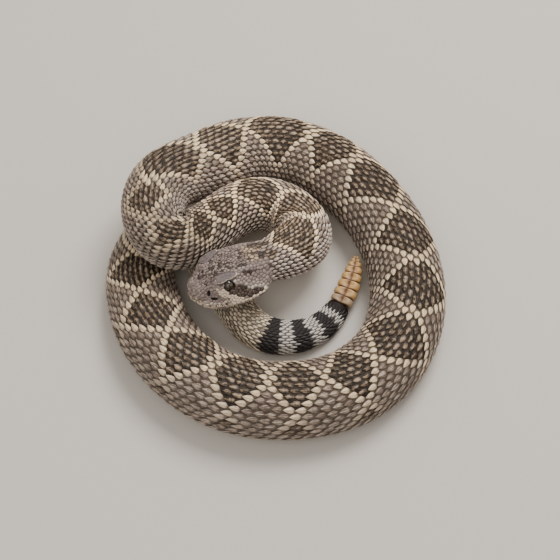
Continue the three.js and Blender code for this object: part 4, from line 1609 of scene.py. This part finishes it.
def head_skin_colour(finish):
    """The same between the scales, darkened by painted shade, and nearly black with painted shade in
    the nostrils and heat pits.
    """
    at = HeadPlace(finish)
    colour = head_colour(finish, at)
    # painted shade: the nostrils and heat pits are made nearly black
    for hole in (NOSTRIL, HEAT_PIT):
        y = at.up - hole["up"]
        x = (at.along - hole["along"] - y * hole["lean"]) * (1 / hole["long"])
        y = y * (1 / hole["tall"])
        colour = finish.blend(1 - (x * x + y * y).rise(0.5, 1.2), colour, HOLE_SHADE)
    # painted shade: the skin between the head's scales is darkened
    return finish.blend(0.6, colour, GAP_SHADE)


def head_finish(name, roughness, colour):
    finish = Finish(name, roughness=roughness, shine=0.35)
    finish.colour(colour(finish))
    finish.bump(finish.noise(1500, 2), 0.25, 0.0002)
    return finish.material


def eye_finish():
    """A speckled olive brown iris with an upright slit for a pupil, and a wet shine."""
    finish = Finish("eyes", roughness=0.06, shine=0.6)
    forward, up, out = finish.parts("eye_at")
    speck = finish.noise(1500, 3)
    iris = finish.blend(speck.rise(0.42, 0.62), IRIS_DARK, IRIS_LIGHT)
    iris = finish.blend(up.rise(0.5, 2.4) * 0.4, iris, IRIS_TOP)
    iris = finish.blend((forward * forward + up * up).rise(5.5, 9.5), iris, EYE_EDGE)
    slit = abs(forward) + up * up * 0.11
    colour = finish.blend(slit.rise(0.62, 0.75), PUPIL, iris)
    colour = finish.blend(out.rise(0, 0.8), EYE_EDGE, colour)
    finish.colour(colour)
    return finish.material


def rattle_finish():
    """Dry horn: straw lobes, amber to brown in the grooves and where the segments meet, partly the
    horn's own colour and partly painted shade.
    """
    finish = Finish("rattle horn")
    along, groove, number = finish.parts("horn")
    cloud = finish.noise(260, 3)
    stria = finish.noise(1.0, 2, finish.joined(along * 9, cloud * 2, number * 5))
    deep = groove.most(abs(along - 0.5).rise(0.34, 0.5))
    colour = finish.blend(stria.rise(0.4, 0.65), HORN, HORN_LIGHT)
    colour = finish.blend(cloud.rise(0.5, 0.7) * 0.4, colour, HORN_CLOUD)
    colour = finish.blend((1 - number.rise(0.5, 1.2)) * 0.65, colour, HORN_ROOT)
    # partly painted shade: the grooves and the segments' ends are darkened, most of all at their
    # deepest
    colour = finish.blend(deep.rise(0.15, 0.75), colour, GROOVE)
    colour = finish.blend(deep.rise(0.7, 1) * 0.7, colour, GROOVE_SHADE)
    finish.colour(colour)
    finish.drive("Roughness", 0.3 + cloud * 0.2)
    finish.bump(stria, 0.3, 0.0003)
    return finish.material


SCALE_FINISH = scale_finish()
SKIN_FINISH = skin_finish()
HEAD_FINISH = head_finish("head scales", 0.5, head_scale_colour)
HEAD_SKIN_FINISH = head_finish("head skin", 0.65, head_skin_colour)
EYE_FINISH = eye_finish()
RATTLE_FINISH = rattle_finish()


# ---------------------------------------------------------------- skin
HEAD_MAP_SHARE = 0.3  # of the skin's map goes to the head
HEAD_FILL = 0.96  # of that band is used
BODY_STRIPS = 7  # the rest of the body lies in this many strips of the map
STRIP_FILL = 0.94  # of each strip is used
CAP_TALL = 0.018  # height of the map's columns for the fans at the skin's ends
CAP_COLUMNS = ((0.001, 0.004), (0.996, 0.999))  # where their rims and hubs lie across it


def skin_map(s0, s1, a0, a1):
    """Corners of each face in the map: the head in its own band, the body in strips."""
    neck = NECK_BLEND[1]
    in_head = s1 <= neck + 0.01
    length = (TOTAL + END_ROUND - neck) / BODY_STRIPS
    strip = np.minimum(((s0 + s1) / 2 - neck) // length, BODY_STRIPS - 1)
    tall = (1 - HEAD_MAP_SHARE) / BODY_STRIPS
    out = []
    for s, a in ((s0, a0), (s0, a1), (s1, a1), (s1, a0)):
        head_u = (s + END_ROUND) / (neck + END_ROUND) * 0.98 + 0.01
        body_u = (s - neck - strip * length) / length * STRIP_FILL + (1 - STRIP_FILL) / 2
        head_v = (a + 1) / 2 * HEAD_MAP_SHARE * HEAD_FILL
        body_v = strip + (1 - STRIP_FILL) / 2 + STRIP_FILL * (a + 1) / 2
        body_v = HEAD_MAP_SHARE + tall * body_v
        out.append(np.stack([np.where(in_head, head_u, body_u), np.where(in_head, head_v, body_v)], -1))
    return np.stack(out, axis=1)


def cap_map(wide):
    """Corners in the map of the fans at the skin's ends, in a narrow column each."""
    tall = CAP_TALL / wide
    foot = HEAD_MAP_SHARE - 0.01 + tall * np.arange(wide)
    fans = []
    for (rim, hub), (first, second) in zip(CAP_COLUMNS, ((1, 0), (0, 1))):
        corners = ((rim, first), (rim, second), (hub, 0.5))
        spots = [np.stack([np.full(wide, x), foot + part * tall], 1) for x, part in corners]
        fans.append(np.stack(spots, axis=1))
    return np.concatenate(fans).reshape(-1, 2)


def skin_vectors(s, a):
    """What the finishes read on the skin at these places. It has no scales of its own, so it
    reads as one place on a scale, beside the keel."""
    shift = shift_share(s) * (1 - np.clip(np.abs(a) / ROW_MIDDLE[-1], 0, 1) ** 2)
    rows = np.r_[np.arange(ROWS + 1), ROWS + 2.5]
    row = np.interp(np.abs(a - shift), np.r_[ROW_MIDDLE, 1], rows)
    section = surface.section_place(s, a)
    vectors = {
        "mark": markings(step_of(s), row, s, section[:, 0]),
        "way": np.stack([s, a, 0 * s + 0.5], axis=1),
        "lie": np.tile([[0.5, 0.6, 0.0]], (len(s), 1)),
        "head_at": np.concatenate([s[:, None], section], axis=1),
        "head_mark": head_markings(s, *section.T),
    }
    return {key: np.vstack([v, v[0], v[-1]]) for key, v in vectors.items()}


def add_skin():
    """One closed skin from the snout to the rattle, under all the scales."""
    rows = [
        i for i, s in enumerate(surface.s) if s < NECK_BLEND[1] or s >= TOTAL - 3 or i % 3 == 0
    ]
    s, a = surface.s[rows], surface.a[:-1]
    rings = (surface.points[rows] - surface.normals[rows] * coat_depth(s)[:, None, None])[:, :-1]
    rings[..., 2] = np.maximum(rings[..., 2], 0.02)
    count, wide = rings.shape[:2]
    s0, s1, a0 = np.repeat(s[:-1], wide), np.repeat(s[1:], wide), np.tile(a, count - 1)
    spots = skin_map(s0, s1, a0, a0 + 2 / COLUMNS).reshape(-1, 2)
    in_head = np.r_[(s0 + s1) / 2 < HEAD_END + 2, np.ones(wide, bool), np.zeros(wide, bool)]
    skin = make_mesh(
        "skin", with_hubs(rings), *closed_faces(count, wide),
        skin_vectors(np.repeat(s, wide), np.tile(a, count)), np.vstack([spots, cap_map(wide)]),
        [SKIN_FINISH, HEAD_SKIN_FINISH], in_head,
    )
    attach(skin, "root")
    trunk = ["trunk_%02d" % i for i in range(1, 15)]
    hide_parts("head", "lower_jaw", "neck", *trunk, "tail_base", "tail_bands")


add_skin()

COAT_PIECES = 6
LAST_STEP = int(step_of(TOTAL)[0])


def add_coats():
    """The scales of the body in six lengths, and those of the head."""
    for piece in range(COAT_PIECES):
        first = round(LAST_STEP * piece / COAT_PIECES / 2) * 2 - (2 if piece == 0 else 0)
        last = round(LAST_STEP * (piece + 1) / COAT_PIECES / 2) * 2
        coat = Coat("scales_%d" % (piece + 1))
        keel_scales(coat, first, last)
        belly_shields(coat, first, last)
        made = coat.make(SCALE_FINISH)
        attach(made, "root")
    coat = Coat("scales_head")
    add_small_scales(coat)
    add_brow_shields(coat)
    made = coat.make(HEAD_FINISH)
    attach(made, "root")


add_coats()


# ---------------------------------------------------------------- eyes and rattle
def closed_loft(name, rings, vectors, finish):
    """A smooth closed mesh through rings of points, with a fan at each end."""
    vectors = {key: with_hubs(values) for key, values in vectors.items()}
    faces = closed_faces(*rings.shape[:2])
    return make_mesh(name, with_hubs(rings), *faces, vectors, None, [finish])


def add_eye(node, side):
    """A ball whose clear front stands out a little; it looks to its side, a little forward
    and up."""
    centre, forward, left, up = head_place(EYE["along"], side * EYE["out"], EYE["up"])
    out = unit(left * side + up * 0.25 - forward * 0.12)
    ahead = unit(forward - out * (forward @ out))
    rise = np.cross(out, ahead) * side
    tilt = np.linspace(0.03, math.pi - 0.03, 28)[:, None, None]
    turn = np.linspace(0, 2 * math.pi, 40, endpoint=False)[None, :, None]
    bulge = 1 + EYE["bulge"] * np.exp(-((tilt / 0.7) ** 2))
    ball = [np.sin(tilt) * np.cos(turn), np.sin(tilt) * np.sin(turn), np.cos(tilt) + 0 * turn]
    at = np.concatenate(ball, axis=2) * EYE["radius"] * bulge
    points = centre + at[..., [0]] * ahead + at[..., [1]] * rise + at[..., [2]] * out
    if side > 0:
        points, at = points[:, ::-1], at[:, ::-1]
    piece = closed_loft(node + "_ball", points, {"eye_at": at}, EYE_FINISH)
    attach(piece, "root")
    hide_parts(node)


def rattle_axis(distance):
    """Middle of the rattle at a distance along it, and the directions across and over it."""
    total = sum(RATTLE["lengths"])
    first, last = np.radians(RATTLE["heading"])
    pitch = math.radians(RATTLE["rise"])
    turn = (last - first) / total
    yaw = first + turn * distance
    half, ratio = read(GIRTH, TOTAL)[0]
    start = LINE[-1, :3] + UP[-1] * 0.5 * half * ratio + FORWARD[-1] * RATTLE["ahead"]
    x = (math.sin(yaw) - math.sin(first)) / turn * math.cos(pitch)
    y = (math.cos(first) - math.cos(yaw)) / turn * math.cos(pitch)
    across = np.array([math.sin(yaw), -math.cos(yaw), 0])
    axis = np.array(
        [math.cos(yaw) * math.cos(pitch), math.sin(yaw) * math.cos(pitch), math.sin(pitch)]
    )
    return start + [x, y, distance * math.sin(pitch)], across, np.cross(across, axis)


# Width along one segment of the rattle, and along its last one, the button.
SEGMENT = [(0, 0.78), (0.08, 0.87), (0.25, 0.98), (0.5, 1), (0.75, 0.98), (0.92, 0.88), (1, 0.78)]
BUTTON = [(0, 0.62), (0.1, 0.88), (0.25, 1), (0.5, 0.92), (0.8, 0.6), (0.94, 0.36), (1, 0.12)]


def segment_ring(width, wide, swell):
    """Places across and over one ring of a segment, and how deep in the cleft between its two
    lobes each one lies. The lobes are fullest where the segment swells."""
    turn = np.linspace(0, 2 * math.pi, 72, endpoint=False)
    cleft = np.exp(-((np.sin(turn) / 0.1) ** 2))
    valley = np.exp(-((np.sin(turn) / 0.42) ** 2))
    hollow = 1 - (0.06 + 0.3 * swell) * valley - 0.12 * cleft
    x = np.sign(np.sin(turn)) * np.abs(np.sin(turn)) ** 0.8 * width / 2 * wide
    y = np.sign(np.cos(turn)) * np.abs(np.cos(turn)) ** 0.92 * width / 2 * wide
    return x, y * RATTLE["thickness"] * hollow * (1.04 + 0.06 * swell), cleft


def add_rattle():
    """Eight segments of horn, each of two lobes side by side."""
    start = 0
    t = 0.5 - 0.5 * np.cos(np.linspace(0, math.pi, 21))
    last = len(RATTLE["lengths"]) - 1
    for k, (length, width) in enumerate(zip(RATTLE["lengths"], RATTLE["widths"])):
        rings, horn = [], []
        for along, wide in zip(t, read(BUTTON if k == last else SEGMENT, t)[:, 0]):
            middle, across, over = rattle_axis(start + (length - RATTLE["seam"]) * along)
            x, y, cleft = segment_ring(width, wide, math.sin(math.pi * along))
            rings.append(middle + across * x[:, None] + over * y[:, None])
            horn.append(np.stack([along + 0 * cleft, cleft, k + 0 * cleft], axis=1))
        name = "rattle_horn_%d" % (k + 1)
        piece = closed_loft(name, np.array(rings), {"horn": np.array(horn)}, RATTLE_FINISH)
        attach(piece, "root")
        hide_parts("rattle_%d" % (k + 1))
        start += length


add_eye("eye_left", 1)
add_eye("eye_right", -1)
add_rattle()


# ---------------------------------------------------------------- stage
WARM_WHITE = (1, 0.965, 0.92)
# Name, place and size in metres, and power in watts, of the lamps.
LAMPS = [("key", (0.5, 0.7, 1.45), 0.8, 28), ("fill", (-0.4, -0.9, 1.3), 1.2, 7)]


def add_stage():
    """A pale plain floor and soft studio light."""
    bpy.ops.mesh.primitive_plane_add(size=8, location=(0, 0, -0.0002))
    floor = bpy.context.object
    floor.name = "floor"
    finish = Finish("floor", roughness=0.9)
    finish.shader.inputs["Base Color"].default_value = FLOOR
    floor.data.materials.append(finish.material)
    world = bpy.data.worlds.new("world")
    bpy.context.scene.world = world
    world.use_nodes = True
    background = world.node_tree.nodes["Background"]
    background.inputs["Color"].default_value = (*WARM_WHITE, 1)
    background.inputs["Strength"].default_value = 0.6
    for name, place, size, power in LAMPS:
        data = bpy.data.lights.new(name, "AREA")
        data.energy = power
        data.size = size
        data.color = WARM_WHITE
        lamp = bpy.data.objects.new(name, data)
        lamp.location = place
        lamp.rotation_euler = (-Vector(place)).to_track_quat("-Z", "Y").to_euler()
        bpy.context.scene.collection.objects.link(lamp)


add_stage()
